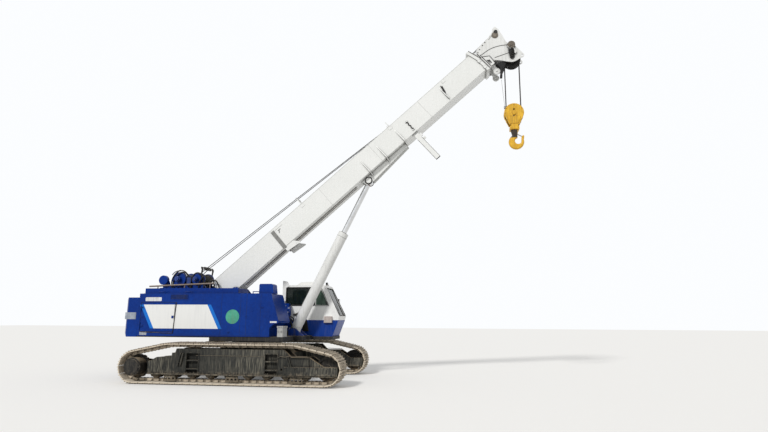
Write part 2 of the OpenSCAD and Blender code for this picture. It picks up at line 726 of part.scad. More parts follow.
// Outer side of the windscreen's inner face at a height
function screen_x(z) = 2380 - (z - screen_z + 20) * (2380 - 1925) / (cab_top - 25 - screen_z + 20) - 32;
module cab_glass() {
    y_mid = cab_in_y + cab_t / 2;
    color([0.5, 0.6, 0.6, 0.4]) place() {
        slab([[700 + seal, window_z + seal], [post_x[0] - seal, window_z + seal], [post_x[0] - seal,
            window_top - seal],
            [700 + seal, window_top - seal]], y_mid - pane_t / 2, y_mid + pane_t / 2);
        slab([[post_x[1] + seal, window_z + seal], [2035 - 2 * seal, window_z + seal],
            [1778 - 2 * seal, window_top - seal], [post_x[1] + seal, window_top - seal]],
            y_mid - pane_t / 2, y_mid + pane_t / 2);
        box(cab_back + 10, cab_back + 10 + pane_t, cab_in_y + 120 + seal, cab_out_y - 120 - seal,
            window_z - 130 + seal, window_top - 40 - seal);
        slab([[screen_x(screen_z + seal), screen_z + seal], [screen_x(screen_z + seal) + pane_t,
            screen_z + seal],
            [screen_x(cab_top - 90 - seal) + pane_t, cab_top - 90 - seal],
            [screen_x(cab_top - 90 - seal), cab_top - 90 - seal]], cab_in_y + 70 + seal,
            cab_out_y - 70 - seal);
        slab([[1815 + seal, window_z + seal], [2035 - 2 * seal, window_z + seal],
            [1830 - 2 * seal, window_top - 60 - seal], [1815 + seal, window_top - 60 - seal]],
            cab_out_y - y_mid + cab_in_y - pane_t / 2, cab_out_y - y_mid + cab_in_y + pane_t / 2);
    }
}

module cab_door() {
    g = run_gap;
    color("white") place() difference() {
        union() {
            box(door_x0 + g, door_x1 - g, cab_out_y - cab_t, cab_out_y, door_z0 + g, door_z1 - g);
            for (z = door_hinge_z) leaf_hinge(door_x0, cab_out_y, 1, z);
            box(door_x1 - 140, door_x1 - 110, cab_out_y - 1, cab_out_y + 45, 1900, 2060);
        }
        box(door_x0 + 110, door_x1 - 110, cab_out_y - cab_t - 5, cab_out_y + 5, window_z, door_z1 - 90);
        box(door_x0 + 110, door_x1 - 110, cab_out_y - cab_t - 5, cab_out_y + 5, 1560, 1860);
    }
}

module door_glass() {
    y_mid = cab_out_y - cab_t / 2;
    color([0.5, 0.6, 0.6, 0.4]) place() for (z = [[window_z, door_z1 - 90], [1560, 1860]])
        box(door_x0 + 110 + seal, door_x1 - 110 - seal, y_mid - pane_t / 2, y_mid + pane_t / 2,
            z[0] + seal, z[1] - seal);
}

module seat() {
    floor_top = cab_z + cab_t;
    color("black") place() union() {
        box(1050, 1350, 780, 1080, floor_top, floor_top + 260);
        slab([[930, floor_top + 250], [1480, floor_top + 270], [1480, floor_top + 370], [930,
            floor_top + 370]], 680, 1180);
        slab([[880, floor_top + 330], [1010, floor_top + 330], [950, floor_top + 1000], [850,
            floor_top + 990]], 700, 1160);
    }
}

module console() {
    floor_top = cab_z + cab_t;
    color("black") place() union() {
        for (y = [560, 1200]) {
            slab([[1150, floor_top], [1400, floor_top], [1500, floor_top + 480], [1150,
                floor_top + 560]], y, y + 100);
            translate([1430, y + 50, floor_top + 470]) cylinder(r = 18, h = 180);
        }
        box(1980, 2100, 640, 1120, floor_top, floor_top + 90);
        slab([[2050, floor_top], [2120, floor_top], [2230, floor_top + 330], [2180, floor_top + 350]],
            780, 1000);
    }
}

// A boom section's hollow box: width, height, plate, from u0 to u1 about the boom's middle line
module section(w, d, u0, u1) {
    difference() {
        box(u0, u1, -w / 2, w / 2, mid_v - d / 2, mid_v + d / 2);
        box(u0 - 1, u1 + 1, -w / 2 + boom_t, w / 2 - boom_t, mid_v - d / 2 + boom_t,
            mid_v + d / 2 - boom_t);
    }
}

// Wear pads in the front of a section, against the next one's skin
pad_l = 160;
module pads(w, d, u1) {
    in_w = w / 2 - boom_t;
    in_d = d / 2 - boom_t;
    next_w = (w - step_w) / 2;
    next_d = (d - step_d) / 2;
    for (s = [-1, 1]) {
        box(u1 - pad_l, u1, -next_w * 0.8, next_w * 0.8, mid_v + (s > 0 ? next_d + seat : -in_d - 1),
            mid_v + (s > 0 ? in_d + 1 : -next_d - seat));
        box(u1 - pad_l, u1, s > 0 ? next_w + seat : -in_w - 1, s > 0 ? in_w + 1 : -next_w - seat,
            mid_v - next_d * 0.8, mid_v + next_d * 0.8);
    }
}

function sec_w(i) = boom_w - i * step_w;
function sec_d(i) = boom_d - i * step_d;
function sec_end(i) = base_end + i * peep;

// Lift cylinder's bracket and the fins of the base section
rib_u = [5400, 6060, 6800];
lay_back = 90;
collar_v = 310;
module boom_base() {
    color("white") place() on_boom() {
            difference() {
                union() {
                    section(boom_w, boom_d, tail_u, base_end);
                    pads(boom_w, boom_d, base_end - 100);
                    // front collar, laid back over its upper part
                    difference() {
                        slab([[base_end - collar_l, under_v - 60], [base_end, under_v - 60], [base_end,
                            collar_v],
                            [base_end - lay_back, under_v + boom_d + 110],
                            [base_end - lay_back - collar_l, under_v + boom_d + 110],
                            [base_end - collar_l, collar_v]],
                            -boom_w / 2 - 30, boom_w / 2 + 30);
                        box(base_end - 400, base_end + 1, -boom_w / 2 + 5, boom_w / 2 - 5, under_v + 5,
                            under_v + boom_d - 5);
                    }
                }
                slab([[base_end, collar_v], [base_end + 10, collar_v], [base_end + 10,
                    under_v + boom_d + 120],
                    [base_end - lay_back, under_v + boom_d + 110], [base_end - lay_back + 0.1,
                    under_v + boom_d + 109]],
                    -boom_w, boom_w);
            }
            // foot boss round the pin
            difference() {
                y_bar(foot_pin_r + 60, -boom_w / 2, boom_w / 2, pin_u, pin_v);
                box(pin_u - 300, pin_u + 300, -boom_w / 2 + 60, boom_w / 2 - 60, pin_v - 300, pin_v + 300);
            }
            // straps across the sides near the foot
            both_sides() box(1935, 2045, boom_w / 2 - 1, boom_w / 2 + 14, under_v - 30,
                under_v + boom_d - 60);
            both_sides() slab([[1960, under_v + 1], [1985, under_v - 148], [2440, under_v - 205],
                [2455, under_v - 180],
                [2300, under_v + 1]], boom_w / 2 - 30, boom_w / 2 - 5);
            both_sides() cylinder_bracket();
            for (u = rib_u) both_sides() fin(u);
            // rope guide posts on the top plate
            for (u = [2960, 6950]) box(u, u + 30, -15, 15, under_v + boom_d - 1, under_v + boom_d + 110);
    }
    color("silver") place() on_boom() {
        y_bar(foot_pin_r, -carrier_y - carrier_t - 20, carrier_y + carrier_t + 20, pin_u, pin_v);
        y_bar(lift_pin_r, -160, 160, eye_u, eye_v);
    }
}

module cylinder_bracket() {
    slab([[eye_u - 200, under_v + 1], [eye_u - 120, under_v - 200], [eye_u + 120, under_v - 240],
        [rib_u[2] + 10, under_v - 125], [rib_u[2] + 10, under_v + 1]], 110, 145);
}

// Three-cornered fin on a lower edge of the base section, out from the lift cylinder's bracket
module fin(u) {
    translate([u - 12, 0, 0]) rotate([90, 0, 90]) linear_extrude(24) polygon([
        [boom_w / 2 - 1, under_v + 480], [boom_w / 2 + 65, under_v + 30], [boom_w / 2 + 65, under_v - 20],
        [144, under_v - 125], [144, under_v + 1], [boom_w / 2 - 1, under_v + 1]
    ]);
}

module stow_arm() {
    color("white") place() on_boom() union() {
        box(7115, 7265, -250, -200, -1150, under_v);
        box(7260, 7335, -245, -205, -300, -200);
        box(7085, 7295, -260, -190, under_v - 40, under_v);
    }
}

collar_t = 18;
module boom_section(i, u0) {
    color("white") place() on_boom() {
        section(sec_w(i), sec_d(i), u0, sec_end(i));
        pads(sec_w(i), sec_d(i), sec_end(i));
        // front collar, outside the section around this one
        difference() {
            box(sec_end(i) - collar_t, sec_end(i), -boom_w / 2 - 15, boom_w / 2 + 15, under_v - 50,
                collar_v - 10);
            box(sec_end(i) - 99, sec_end(i) + 1, -sec_w(i) / 2 + 5, sec_w(i) / 2 - 5,
                mid_v - sec_d(i) / 2 + 5, collar_v + 1);
        }
        // side brackets ahead of the third section's collar
        if (i == 2) both_sides() difference() {
            slab([[sec_end(i) - 12, 292], [sec_end(i) + 190, 150], [sec_end(i) + 165, -135],
                [sec_end(i) - 12, -139]],
                boom_w / 2 - 8, boom_w / 2 + 12);
            slab([[sec_end(i) + 55, 115], [sec_end(i) + 140, 60], [sec_end(i) + 125, -60],
                [sec_end(i) + 45, -60]],
                boom_w / 2 - 20, boom_w / 2 + 20);
        }
    }
}

module boom_tip() {
    color("white") place() on_boom() section(sec_w(3), sec_d(3), 700, sec_end(3) + 140);
}

// Head: two side plates, cross plates and the sheaves' pins
head_in_y = sec_w(3) / 2;
head_t = 28;
jib_u = head_from + 925;                  // bore for the jib's pin
jib_v = -482;
jib_pin_r = 28;
// Side plate of the head: distance past head_from, height over the boom's line
head_plate = [
    [5, 553], [100, 606], [567, 637], [800, 700], [880, 775], [990, 775], [1008, 640], [955, 420],
    [890, 200],
    [895, 90], [950, -10], [985, -120], [984, -470], [930, -548], [830, -520], [665, -490], [560, -440],
    [465, -319], [350, -161], [244, -34], [5, -40]
];
side_roller_r = 100;
module boom_head() {
    tip_d = sec_d(3) / 2;
    h = head_from;
    color("white") place() on_boom() difference() {
        union() {
            both_sides() slab([for (p = head_plate) [h + p[0], p[1]]], head_in_y, head_in_y + head_t);
            box(h + 142, h + 165, -head_in_y - 2, head_in_y + 2, mid_v - tip_d, mid_v + tip_d);
            box(h + 250, h + 650, -head_in_y - 2, head_in_y + 2, 440, 460);
            box(h + 200, h + 390, -head_in_y - 2, head_in_y + 2, 20, 45);
            // pins of the sheaves
            y_bar(45, -head_in_y - head_t - 20, head_in_y + head_t + 20, head_u, head_v);
            y_bar(30, -head_in_y - head_t - 15, head_in_y + head_t + 15, nose_u, nose_v);
            // side rollers under the head's back, outside the rope falls
            both_sides() {
                y_bar(side_roller_r, head_in_y + 4, head_in_y + 34, h + 30, -345);
                y_bar(25, head_in_y - 30, head_in_y + 46, h + 30, -345);
                slab([[h + 10, -5], [h + 150, -5], [h + 95, -385], [h - 25, -385]], head_in_y - 25,
                    head_in_y + 1);
            }
            // rope's dead end on the near plate
            slab([[h + 790, 30], [h + 900, -20], [h + 880, -300], [h + 800, -330]],
                -head_in_y - head_t - 50, -head_in_y - head_t + 1);
            // lugs of the jib's pin
            both_sides() y_bar(62, head_in_y, head_in_y + head_t, jib_u, jib_v);
        }
        y_bar(jib_pin_r, -head_in_y - 60, head_in_y + 60, jib_u, jib_v);
    }
}

// A rope sheave: hub, web and a grooved rim
module sheave(r_groove, bore, hub = 45, flange = 58) {
    rim = r_groove + flange;
    w = sheave_w / 2;
    rotate([90, 0, 0]) rotate_extrude($fn = 64) polygon([
        [bore, -w], [bore + hub, -w], [bore + hub, -12], [r_groove - 30, -12], [r_groove - 20, -w],
        [rim, -w],
        [rim, -w + 6], [r_groove, -rope_r - 2], [r_groove, rope_r + 2], [rim, w - 6], [rim, w],
        [r_groove - 20, w], [r_groove - 30, 12], [bore + hub, 12], [bore + hub, w], [bore, w]
    ]);
}

sheave_step = 2 * fall_y;
module head_sheaves() {
    color("black") place() on_boom() translate([head_u, 0, head_v]) union() {
        for (k = [-1, 0, 1]) translate([0, k * sheave_step / 2, 0]) sheave(groove_r, 45 + pin_gap);
        difference() {
            y_bar(85, -sheave_step / 2 - 80, sheave_step / 2 + 80);
            y_bar(45 + pin_gap, -200, 200);
        }
    }
}

module nose_sheave() {
    color("black") place() on_boom() translate([nose_u, 0, nose_v]) union() {
        sheave(95, 30 + pin_gap, 20, 45);
        difference() {
            y_bar(55, -head_in_y + 30, head_in_y - 30);
            y_bar(30 + pin_gap, -300, 300);
        }
    }
}

module lift_rod() {
    color("silver") place() on_lift() difference() {
        union() {
            translate([lift_len, 0, 0]) y_bar(110, -95, 95);
            translate([lift_len - rod_len, 0, 0]) rotate([0, 90, 0]) cylinder(r = rod_r, h = rod_len - 60);
            translate([lift_len - rod_len, 0, 0]) rotate([0, 90, 0]) cylinder(r = barrel_r - 30 - seat,
                h = piston_t);
        }
        translate([lift_len, 0, 0]) y_bar(lift_pin_r + pin_gap, -200, 200);
    }
}

module lift_barrel() {
    color("white") place() on_lift() difference() {
        union() {
            rotate([0, 90, 0]) cylinder(r = barrel_r, h = barrel_len - 120);
            translate([barrel_len - 120, 0, 0]) rotate([0, 90, 0]) cylinder(r = barrel_r + 4, h = 120);
            y_bar(140, -barrel_r, barrel_r);
            // port blocks and the oil pipe along the barrel's upper far side
            rotate([-45, 0, 0]) {
                box(200, 330, -40, 40, barrel_r - 20, barrel_r + 20);
                translate([260, 0, barrel_r + 17]) rotate([0, 90, 0]) cylinder(r = 14,
                    h = barrel_len - 430);
                box(barrel_len - 270, barrel_len - 150, -36, 36, barrel_r - 20, barrel_r + 36);
            }
        }
        translate([150, 0, 0]) rotate([0, 90, 0]) cylinder(r = barrel_r - 30,
            h = barrel_len - 150 - gland_t);
        translate([200, 0, 0]) rotate([0, 90, 0]) cylinder(r = rod_r + seat, h = barrel_len);
    }
}

// Hook block, hanging under the head sheaves
module on_block() translate([head_x, 0, block_z]) children();

cheek_r = 290;
cheek_taper = [[-281, -60], [281, -60], [150, -360], [-150, -360]];
cheek_y = fall_y + sheave_w / 2 + 8;
module hook_block() {
    color("gold") place() on_block() difference() {
        union() {
            both_sides() {
                y_bar(cheek_r, cheek_y, cheek_y + cheek_t, 0, 10);
                slab(cheek_taper, cheek_y, cheek_y + cheek_t);
                // weight plates on the cheeks' lower halves
                slab([[-190, -110], [190, -110], [125, -330], [-125, -330]], cheek_y + cheek_t - 1,
                    cheek_y + cheek_t + 12);
            }
            box(-32, 32, -cheek_y - 1, cheek_y + 1, 271, 296);
            y_bar(block_bolt_r, -cheek_y - cheek_t - 18, cheek_y + cheek_t + 18);
            // trunnion between the cheeks, with the hook's shank through it
            box(-104, 104, -cheek_y - cheek_t + 1, cheek_y + cheek_t - 1, trunnion_z - block_z,
                trunnion_z - block_z + trunnion_h);
            box(-136, 136, -cheek_y - cheek_t - 10, cheek_y + cheek_t + 10, trunnion_z - block_z,
                trunnion_z - block_z + 90);
        }
        translate([0, 0, trunnion_z - block_z - 1]) cylinder(r = 45 + pin_gap, h = 400);
        both_sides() y_bar(28, cheek_y - 5, cheek_y + cheek_t + 5, 0, 115);
    }
}

module block_sheaves() {
    color("black") place() on_block() union() {
        for (s = [-1, 1]) translate([0, s * fall_y, 0]) sheave(groove_r, block_bolt_r + pin_gap);
        difference() {
            y_bar(80, -cheek_y + seat, cheek_y - seat);
            y_bar(block_bolt_r + pin_gap, -200, 200);
        }
    }
}

// Four rope falls between the lower and the upper sheaves, tangent to both
module hoist_falls() {
    color("black") place() translate([head_x, 0, 0]) for (x = [-fall_x, fall_x], y = [-fall_y, fall_y])
        translate([x, y, block_z]) cylinder(r = rope_r, h = head_z - block_z, $fn = 16);
}

// Single hook: shank, nut, tapered neck, and a forged bowl that is thickest under the load
bowl_x = 43;                              // middle of the bowl's outer circle, under the trunnion
bowl_drop = 374;
bowl_r = 225;
throat_x = 95;                            // middle of the bowl's inner circle
throat_drop = 345;
throat_r = 95;
hook_t = 58;                              // half the bowl's thickness
hook_edge = 22;                           // bevel of the bowl's edges
module bowl_disc(r, bevel) {
    edge = hook_t - abs(bevel);
    rotate([-90, 0, 0]) rotate_extrude() polygon([
        [0, -hook_t], [r - bevel, -hook_t], [r, -edge], [r, edge], [r - bevel, hook_t], [0, hook_t]
    ]);
}
module hook() {
    under = trunnion_z - block_z;
    color("gold") place() on_block() union() {
        translate([0, 0, under - 220]) cylinder(r = 45, h = trunnion_h + 240);
        translate([0, 0, under + trunnion_h + seat]) cylinder(r = 75, h = 35);
        translate([0, 0, under - 185]) cylinder(r1 = 72, r2 = 118, h = 185 - seat);
        difference() {
            union() {
                translate([bowl_x, 0, under - bowl_drop]) bowl_disc(bowl_r, hook_edge);
                slab([[throat_x + 60, under - throat_drop - 60], [bowl_x + 195, under - throat_drop - 60],
                    [bowl_x + 236, under - 200],
                    [bowl_x + 200, under - 168], [bowl_x + 172, under - 196]], -34, 34);
            }
            translate([throat_x, 0, under - throat_drop]) bowl_disc(throat_r, -hook_edge);
            slab([[78, under - throat_drop], [throat_x + throat_r - 1, under - throat_drop],
                [bowl_x + 160, under - 180],
                [bowl_x + 170, under], [78, under]], -200, 200);
        }
    }
}

carbody();
slew_ring();
track_frame(1);  // track_frame_left
track_frame(-1);  // track_frame_right
track(1);  // track_left
track(-1);  // track_right
final_drive(1);  // final_drive_left
final_drive(-1);  // final_drive_right
idler(1);  // idler_left
idler(-1);  // idler_right
rollers(1);  // rollers_left
rollers(-1);  // rollers_right
deck();
boom_carrier();
counterweight();
hood();
battery_box();
engine();
air_intake();
hood_rail();
hydraulic_tank();
fuel_tank();
cab_shell();
cab_glass();
seat();
console();
hood_door();
cab_door();
door_glass();
winch(winch_x[0], drum_flange_r);  // main_winch
winch(winch_x[1], drum_flange_r - 20);  // aux_winch
boom_base();
stow_arm();
boom_section(1, 400);  // boom_second
boom_section(2, 550);  // boom_third
boom_tip();
boom_head();
head_sheaves();
nose_sheave();
lift_rod();
lift_barrel();
hook_block();
hoist_falls();
block_sheaves();
hook();
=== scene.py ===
import math
import bmesh
import bpy
from mathutils import Matrix, Vector


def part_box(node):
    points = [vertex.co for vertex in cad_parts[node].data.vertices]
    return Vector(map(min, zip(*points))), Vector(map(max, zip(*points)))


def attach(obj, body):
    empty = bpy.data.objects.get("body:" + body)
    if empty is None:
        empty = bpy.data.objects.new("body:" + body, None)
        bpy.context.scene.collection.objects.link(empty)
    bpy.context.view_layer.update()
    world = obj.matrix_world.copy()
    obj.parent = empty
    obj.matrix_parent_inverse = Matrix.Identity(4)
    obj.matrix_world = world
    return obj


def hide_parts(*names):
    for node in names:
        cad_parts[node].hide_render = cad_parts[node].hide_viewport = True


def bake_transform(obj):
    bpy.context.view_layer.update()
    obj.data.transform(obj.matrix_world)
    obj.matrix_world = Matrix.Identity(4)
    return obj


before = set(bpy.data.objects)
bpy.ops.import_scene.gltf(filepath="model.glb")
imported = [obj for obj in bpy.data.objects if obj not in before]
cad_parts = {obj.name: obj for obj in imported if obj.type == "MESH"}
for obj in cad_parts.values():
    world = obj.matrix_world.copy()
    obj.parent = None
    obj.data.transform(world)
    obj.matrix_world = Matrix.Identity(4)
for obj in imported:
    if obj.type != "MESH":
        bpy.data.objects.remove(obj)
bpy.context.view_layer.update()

# Camera: a phone held at eye height on the machine's right side, tilted up so that the whole
# raised boom is in view.
yaw, pitch, roll = math.radians(8.15), math.radians(10.89), math.radians(0.30)
ahead = Vector((-math.sin(yaw) * math.cos(pitch), math.cos(yaw) * math.cos(pitch), math.sin(pitch)))
level = Vector((math.cos(yaw), math.sin(yaw), 0))
above = level.cross(ahead)
right = level * math.cos(roll) + above * math.sin(roll)
up = above * math.cos(roll) - level * math.sin(roll)
lens = bpy.data.cameras.new("phone_lens")
lens.lens, lens.sensor_width, lens.clip_end = 25.09, 36, 500
camera = bpy.data.objects.new("phone", lens)
bpy.context.collection.objects.link(camera)
camera.matrix_world = Matrix((right, up, -ahead)).transposed().to_4x4()
camera.location = (3.71, -15.63, 1.71)
bpy.context.scene.camera = camera
bpy.context.scene.view_settings.view_transform = "Standard"


# Studio: a pale floor that runs to a white surround, one wide sun over the camera's left
# shoulder, and even light from all round.
def give(tree, socket, value):
    """Sets an input, to a plain value or from another node's output."""
    if isinstance(value, bpy.types.NodeSocket):
        tree.links.new(value, socket)
    else:
        socket.default_value = value


def wire(tree, kind, sockets=None, **settings):
    """Adds a shader node. sockets: its inputs by name or number."""
    made = tree.nodes.new("ShaderNode" + kind)
    for key, value in settings.items():
        setattr(made, key, value)
    for key, value in (sockets or {}).items():
        give(tree, made.inputs[key], value)
    return made


def calc(tree, operation, a, b=0.0, limit=False):
    """A Math node's output, held between 0 and 1 where it has a limit."""
    return wire(tree, "Math", {0: a, 1: b}, operation=operation, use_clamp=limit).outputs[0]


def blank(name):
    """A new material's tree with no nodes in it but the output, and the material."""
    made = bpy.data.materials.new(name)
    made.use_nodes = True
    tree = made.node_tree
    tree.nodes.remove(tree.nodes["Principled BSDF"])
    return made, tree


def looked_at(tree):
    """1 for a ray that looks at the surround: from the camera, off a gloss or through glass."""
    rays = wire(tree, "LightPath").outputs
    seen = calc(tree, "MAXIMUM", rays["Is Camera Ray"], rays["Is Glossy Ray"])
    return calc(tree, "MAXIMUM", seen, rays["Is Transmission Ray"])


world = bpy.data.worlds.new("surround")
world.use_nodes = True
sky = world.node_tree
light = sky.nodes["Background"]
light.inputs["Color"].default_value = (0.97, 0.985, 1.0, 1)
EVEN_LIGHT = 0.56                                        # on the crane; the surround itself shows as 1
shown = calc(sky, "MULTIPLY", looked_at(sky), 1 - EVEN_LIGHT)
sky.links.new(calc(sky, "ADD", shown, EVEN_LIGHT), light.inputs["Strength"])
bpy.context.scene.world = world

sun = bpy.data.lights.new("sun", "SUN")
sun.energy, sun.angle, sun.color = 2.12, math.radians(9), (1.0, 0.985, 0.96)
lamp = bpy.data.objects.new("sun", sun)
lamp.rotation_euler = (math.radians(52), 0, math.radians(-22))
bpy.context.collection.objects.link(lamp)

ground = bmesh.new()
bmesh.ops.create_grid(ground, x_segments=4, y_segments=4, size=90)
floor_mesh = bpy.data.meshes.new("floor")
ground.to_mesh(floor_mesh)
floor = bpy.data.objects.new("floor", floor_mesh)
floor.location.z = -0.002
bpy.context.collection.objects.link(floor)
floor_paint, tree = blank("floor_paint")
matt = wire(tree, "BsdfDiffuse", {"Color": (0.80, 0.79, 0.77, 1)})
glow = wire(tree, "Emission", {"Color": (1, 1, 1, 1), "Strength": 0.10})
lit = wire(tree, "AddShader", {0: matt.outputs[0], 1: glow.outputs[0]})
show = wire(tree, "MixShader", {0: looked_at(tree), 1: matt.outputs[0], 2: lit.outputs[0]})
tree.links.new(show.outputs[0], tree.nodes["Material Output"].inputs["Surface"])
floor_mesh.materials.append(floor_paint)


# Track frames, carbody and slewing ring: welded steel plate under worn dark grey paint. Tan mud
# lies on the lower edges and has run down the side plates.
def effect(name, sockets, gives):
    """An empty effect: its tree, its inputs and its output node. It gives masks or normals."""
    tree = bpy.data.node_groups.new(name, "ShaderNodeTree")
    for label, start in sockets.items():
        kind = "NodeSocketFloat" if isinstance(start, (int, float)) else "NodeSocketVector"
        tree.interface.new_socket(label, in_out="INPUT", socket_type=kind).default_value = start
    for label, kind in gives.items():
        tree.interface.new_socket(label, in_out="OUTPUT", socket_type="NodeSocket" + kind)
    return tree, tree.nodes.new("NodeGroupInput").outputs, tree.nodes.new("NodeGroupOutput")


def spread(tree, value, low, high, first=0.0, last=1.0):
    """Maps a value from low..high to first..last, with soft ends."""
    return wire(tree, "MapRange", {"Value": value, "From Min": low, "From Max": high, "To Min": first,
                                   "To Max": last}, interpolation_type="SMOOTHSTEP").outputs[0]


def own_place(tree):
    """The piece's own coordinates, in metres."""
    return wire(tree, "TexCoord").outputs["Object"]


def upward(tree):
    """How far the surface faces up, from -1 to 1."""
    return wire(tree, "SeparateXYZ", {0: wire(tree, "NewGeometry").outputs["Normal"]}).outputs["Z"]


def speckle(tree, scale, detail):
    """Noise over the piece's own coordinates."""
    place = own_place(tree)
    return wire(tree, "TexNoise", {"Vector": place, "Scale": scale, "Detail": detail}).outputs["Fac"]


# edge wear: where the rounded normal leaves the flat one there is an edge, rubbed in patches
tree, given, out = effect("edge wear", {"Radius": 0.006, "Amount": 0.5, "Patch": 9.0},
                          {"Normal": "Vector", "Mask": "Float"})
eased = wire(tree, "Bevel", {"Radius": given["Radius"]}, samples=4).outputs[0]
flat = wire(tree, "NewGeometry").outputs["Normal"]
bend = wire(tree, "VectorMath", {0: eased, 1: flat}, operation="DOT_PRODUCT").outputs["Value"]
turned = calc(tree, "MULTIPLY", calc(tree, "SUBTRACT", 1.0, bend), 9.0)
spared = calc(tree, "SUBTRACT", 1.0, given["Amount"])
rubbed = calc(tree, "SUBTRACT", speckle(tree, given["Patch"], 5), spared)
mask = calc(tree, "MULTIPLY", turned, calc(tree, "MULTIPLY", rubbed, 6.0, True), True)
tree.links.new(eased, out.inputs["Normal"])
tree.links.new(mask, out.inputs["Mask"])

# settled dust: on what faces up, thicker in drifts
tree, given, out = effect("settled dust", {"Amount": 0.5, "Scale": 3.0}, {"Mask": "Float"})
drift = calc(tree, "ADD", speckle(tree, given["Scale"], 6), calc(tree, "MULTIPLY", given["Amount"], 0.6))
mask = calc(tree, "MULTIPLY", spread(tree, upward(tree), 0.25, 0.95), spread(tree, drift, 0.55, 0.95))
tree.links.new(calc(tree, "MULTIPLY", mask, given["Amount"], True), out.inputs["Mask"])

# runs: dirt washed down upright faces in narrow streaks
tree, given, out = effect("dirt runs", {"Amount": 0.4, "Width": 14.0}, {"Mask": "Float"})
upright = calc(tree, "SUBTRACT", 1.0, calc(tree, "ABSOLUTE", upward(tree)))
drawn = wire(tree, "Mapping", {"Vector": own_place(tree), "Scale": (1, 1, 0.05)}).outputs[0]
fine = wire(tree, "TexNoise", {"Vector": drawn, "Scale": given["Width"], "Detail": 5.0}).outputs["Fac"]
patch = spread(tree, speckle(tree, 0.9, 2), 0.3, 0.6, 0.25, 1.0)
streak = calc(tree, "MULTIPLY", spread(tree, fine, 0.47, 0.62), patch)
mask = calc(tree, "MULTIPLY", calc(tree, "MULTIPLY", streak, upright), given["Amount"], True)
tree.links.new(mask, out.inputs["Mask"])

# splashed mud: full at the ground, broken towards its top height
tree, given, out = effect("splashed mud", {"Height": 0.6, "Amount": 0.8, "Scale": 4.0}, {"Mask": "Float"})
height = wire(tree, "SeparateXYZ", {0: own_place(tree)}).outputs["Z"]
depth = calc(tree, "SUBTRACT", 1.0, calc(tree, "DIVIDE", height, given["Height"]))
splash = calc(tree, "SUBTRACT", speckle(tree, given["Scale"], 8), 0.5)
broken = calc(tree, "ADD", depth, calc(tree, "MULTIPLY", splash, 1.3))
mask = calc(tree, "MULTIPLY", spread(tree, broken, 0.1, 0.85), given["Amount"], True)
tree.links.new(mask, out.inputs["Mask"])

# corner shade and grime: painted shade, darker where nearby faces shut the light out, with grime
tree, given, out = effect("corner shade and grime", {"Amount": 0.6, "Reach": 0.12}, {"Mask": "Float"})
open_air = wire(tree, "AmbientOcclusion", {"Distance": given["Reach"]}, samples=6).outputs["AO"]
patchy = calc(tree, "ADD", calc(tree, "MULTIPLY", speckle(tree, 14.0, 5), 0.5), 0.75)
shut_in = calc(tree, "MULTIPLY", spread(tree, open_air, 0.95, 0.25), patchy)
mask = calc(tree, "MULTIPLY", shut_in, given["Amount"], True)
tree.links.new(mask, out.inputs["Mask"])

# mottle: broad and fine changes of tone in one value
tree, given, out = effect("mottle", {"Broad": 0.8, "Fine": 16.0}, {"Value": "Float"})
tone = calc(tree, "ADD", calc(tree, "MULTIPLY", speckle(tree, given["Broad"], 3), 0.65),
            calc(tree, "MULTIPLY", speckle(tree, given["Fine"], 5), 0.35))
tree.links.new(spread(tree, tone, 0.3, 0.7), out.inputs["Value"])

# skin: the fine unevenness of brushed or sprayed paint and of cast iron, as a height
tree, given, out = effect("skin", {"Scale": 180.0, "Rough": 0.5}, {"Height": "Float"})
tree.links.new(calc(tree, "ADD", speckle(tree, given["Scale"], 3),
                    calc(tree, "MULTIPLY", speckle(tree, 11.0, 4), given["Rough"])), out.inputs["Height"])

# band: 1 between two leaning ends and two levels, in whatever frame the vector gives
tree, given, out = effect("band", {"Where": (0, 0, 0), "From": 0.0, "To": 1.0, "Low": 0.0, "High": 1.0,
                                   "Lean": 0.0, "Beyond": -1.0}, {"Mask": "Float"})
axes = wire(tree, "SeparateXYZ", {0: given["Where"]}).outputs
level_in = calc(tree, "SUBTRACT", axes["Z"], given["Low"])
leant = calc(tree, "ADD", axes["X"], calc(tree, "MULTIPLY", level_in, given["Lean"]))
inside = calc(tree, "MULTIPLY", calc(tree, "GREATER_THAN", leant, given["From"]),
              calc(tree, "LESS_THAN", leant, given["To"]))
between = calc(tree, "MULTIPLY", calc(tree, "GREATER_THAN", level_in, 0.0),
               calc(tree, "LESS_THAN", axes["Z"], given["High"]))
outside = calc(tree, "GREATER_THAN", calc(tree, "ABSOLUTE", axes["Y"]), given["Beyond"])
tree.links.new(calc(tree, "MULTIPLY", calc(tree, "MULTIPLY", inside, between), outside), out.inputs["Mask"])


def place_effect(tree, name, **values):
    """Puts one of the effects into a tree, with its own values."""
    made = tree.nodes.new("ShaderNodeGroup")
    made.node_tree = bpy.data.node_groups[name]
    for label, value in values.items():
        give(tree, made.inputs[label], value)
    return made.outputs


def blended(tree, mask, a, b):
    """Colour a where the mask is 0 and b where it is 1."""
    ends = [value if isinstance(value, bpy.types.NodeSocket) else (*value, 1) for value in (a, b)]
    return wire(tree, "Mix", {0: mask, 6: ends[0], 7: ends[1]}, data_type="RGBA").outputs[2]


def mixed(tree, mask, a, b):
    """The number a where the mask is 0 and b where it is 1."""
    return wire(tree, "Mix", {0: mask, 2: a, 3: b}).outputs[0]


DUST, MUD, BARE = (0.42, 0.34, 0.24), (0.36, 0.28, 0.19), (0.32, 0.31, 0.30)


def runs(amount, width, colour, rough):
    """A finish's layer of washed-down dirt."""
    return "dirt runs", dict(Amount=amount, Width=width), colour, rough


def dust(amount, scale, colour=DUST, rough=0.95):
    """A finish's layer of settled dust."""
    return "settled dust", dict(Amount=amount, Scale=scale), colour, rough


def mud(height, amount, scale, colour=MUD, rough=0.92):
    """A finish's layer of splashed mud, up to a height."""
    return "splashed mud", dict(Height=height, Amount=amount, Scale=scale), colour, rough


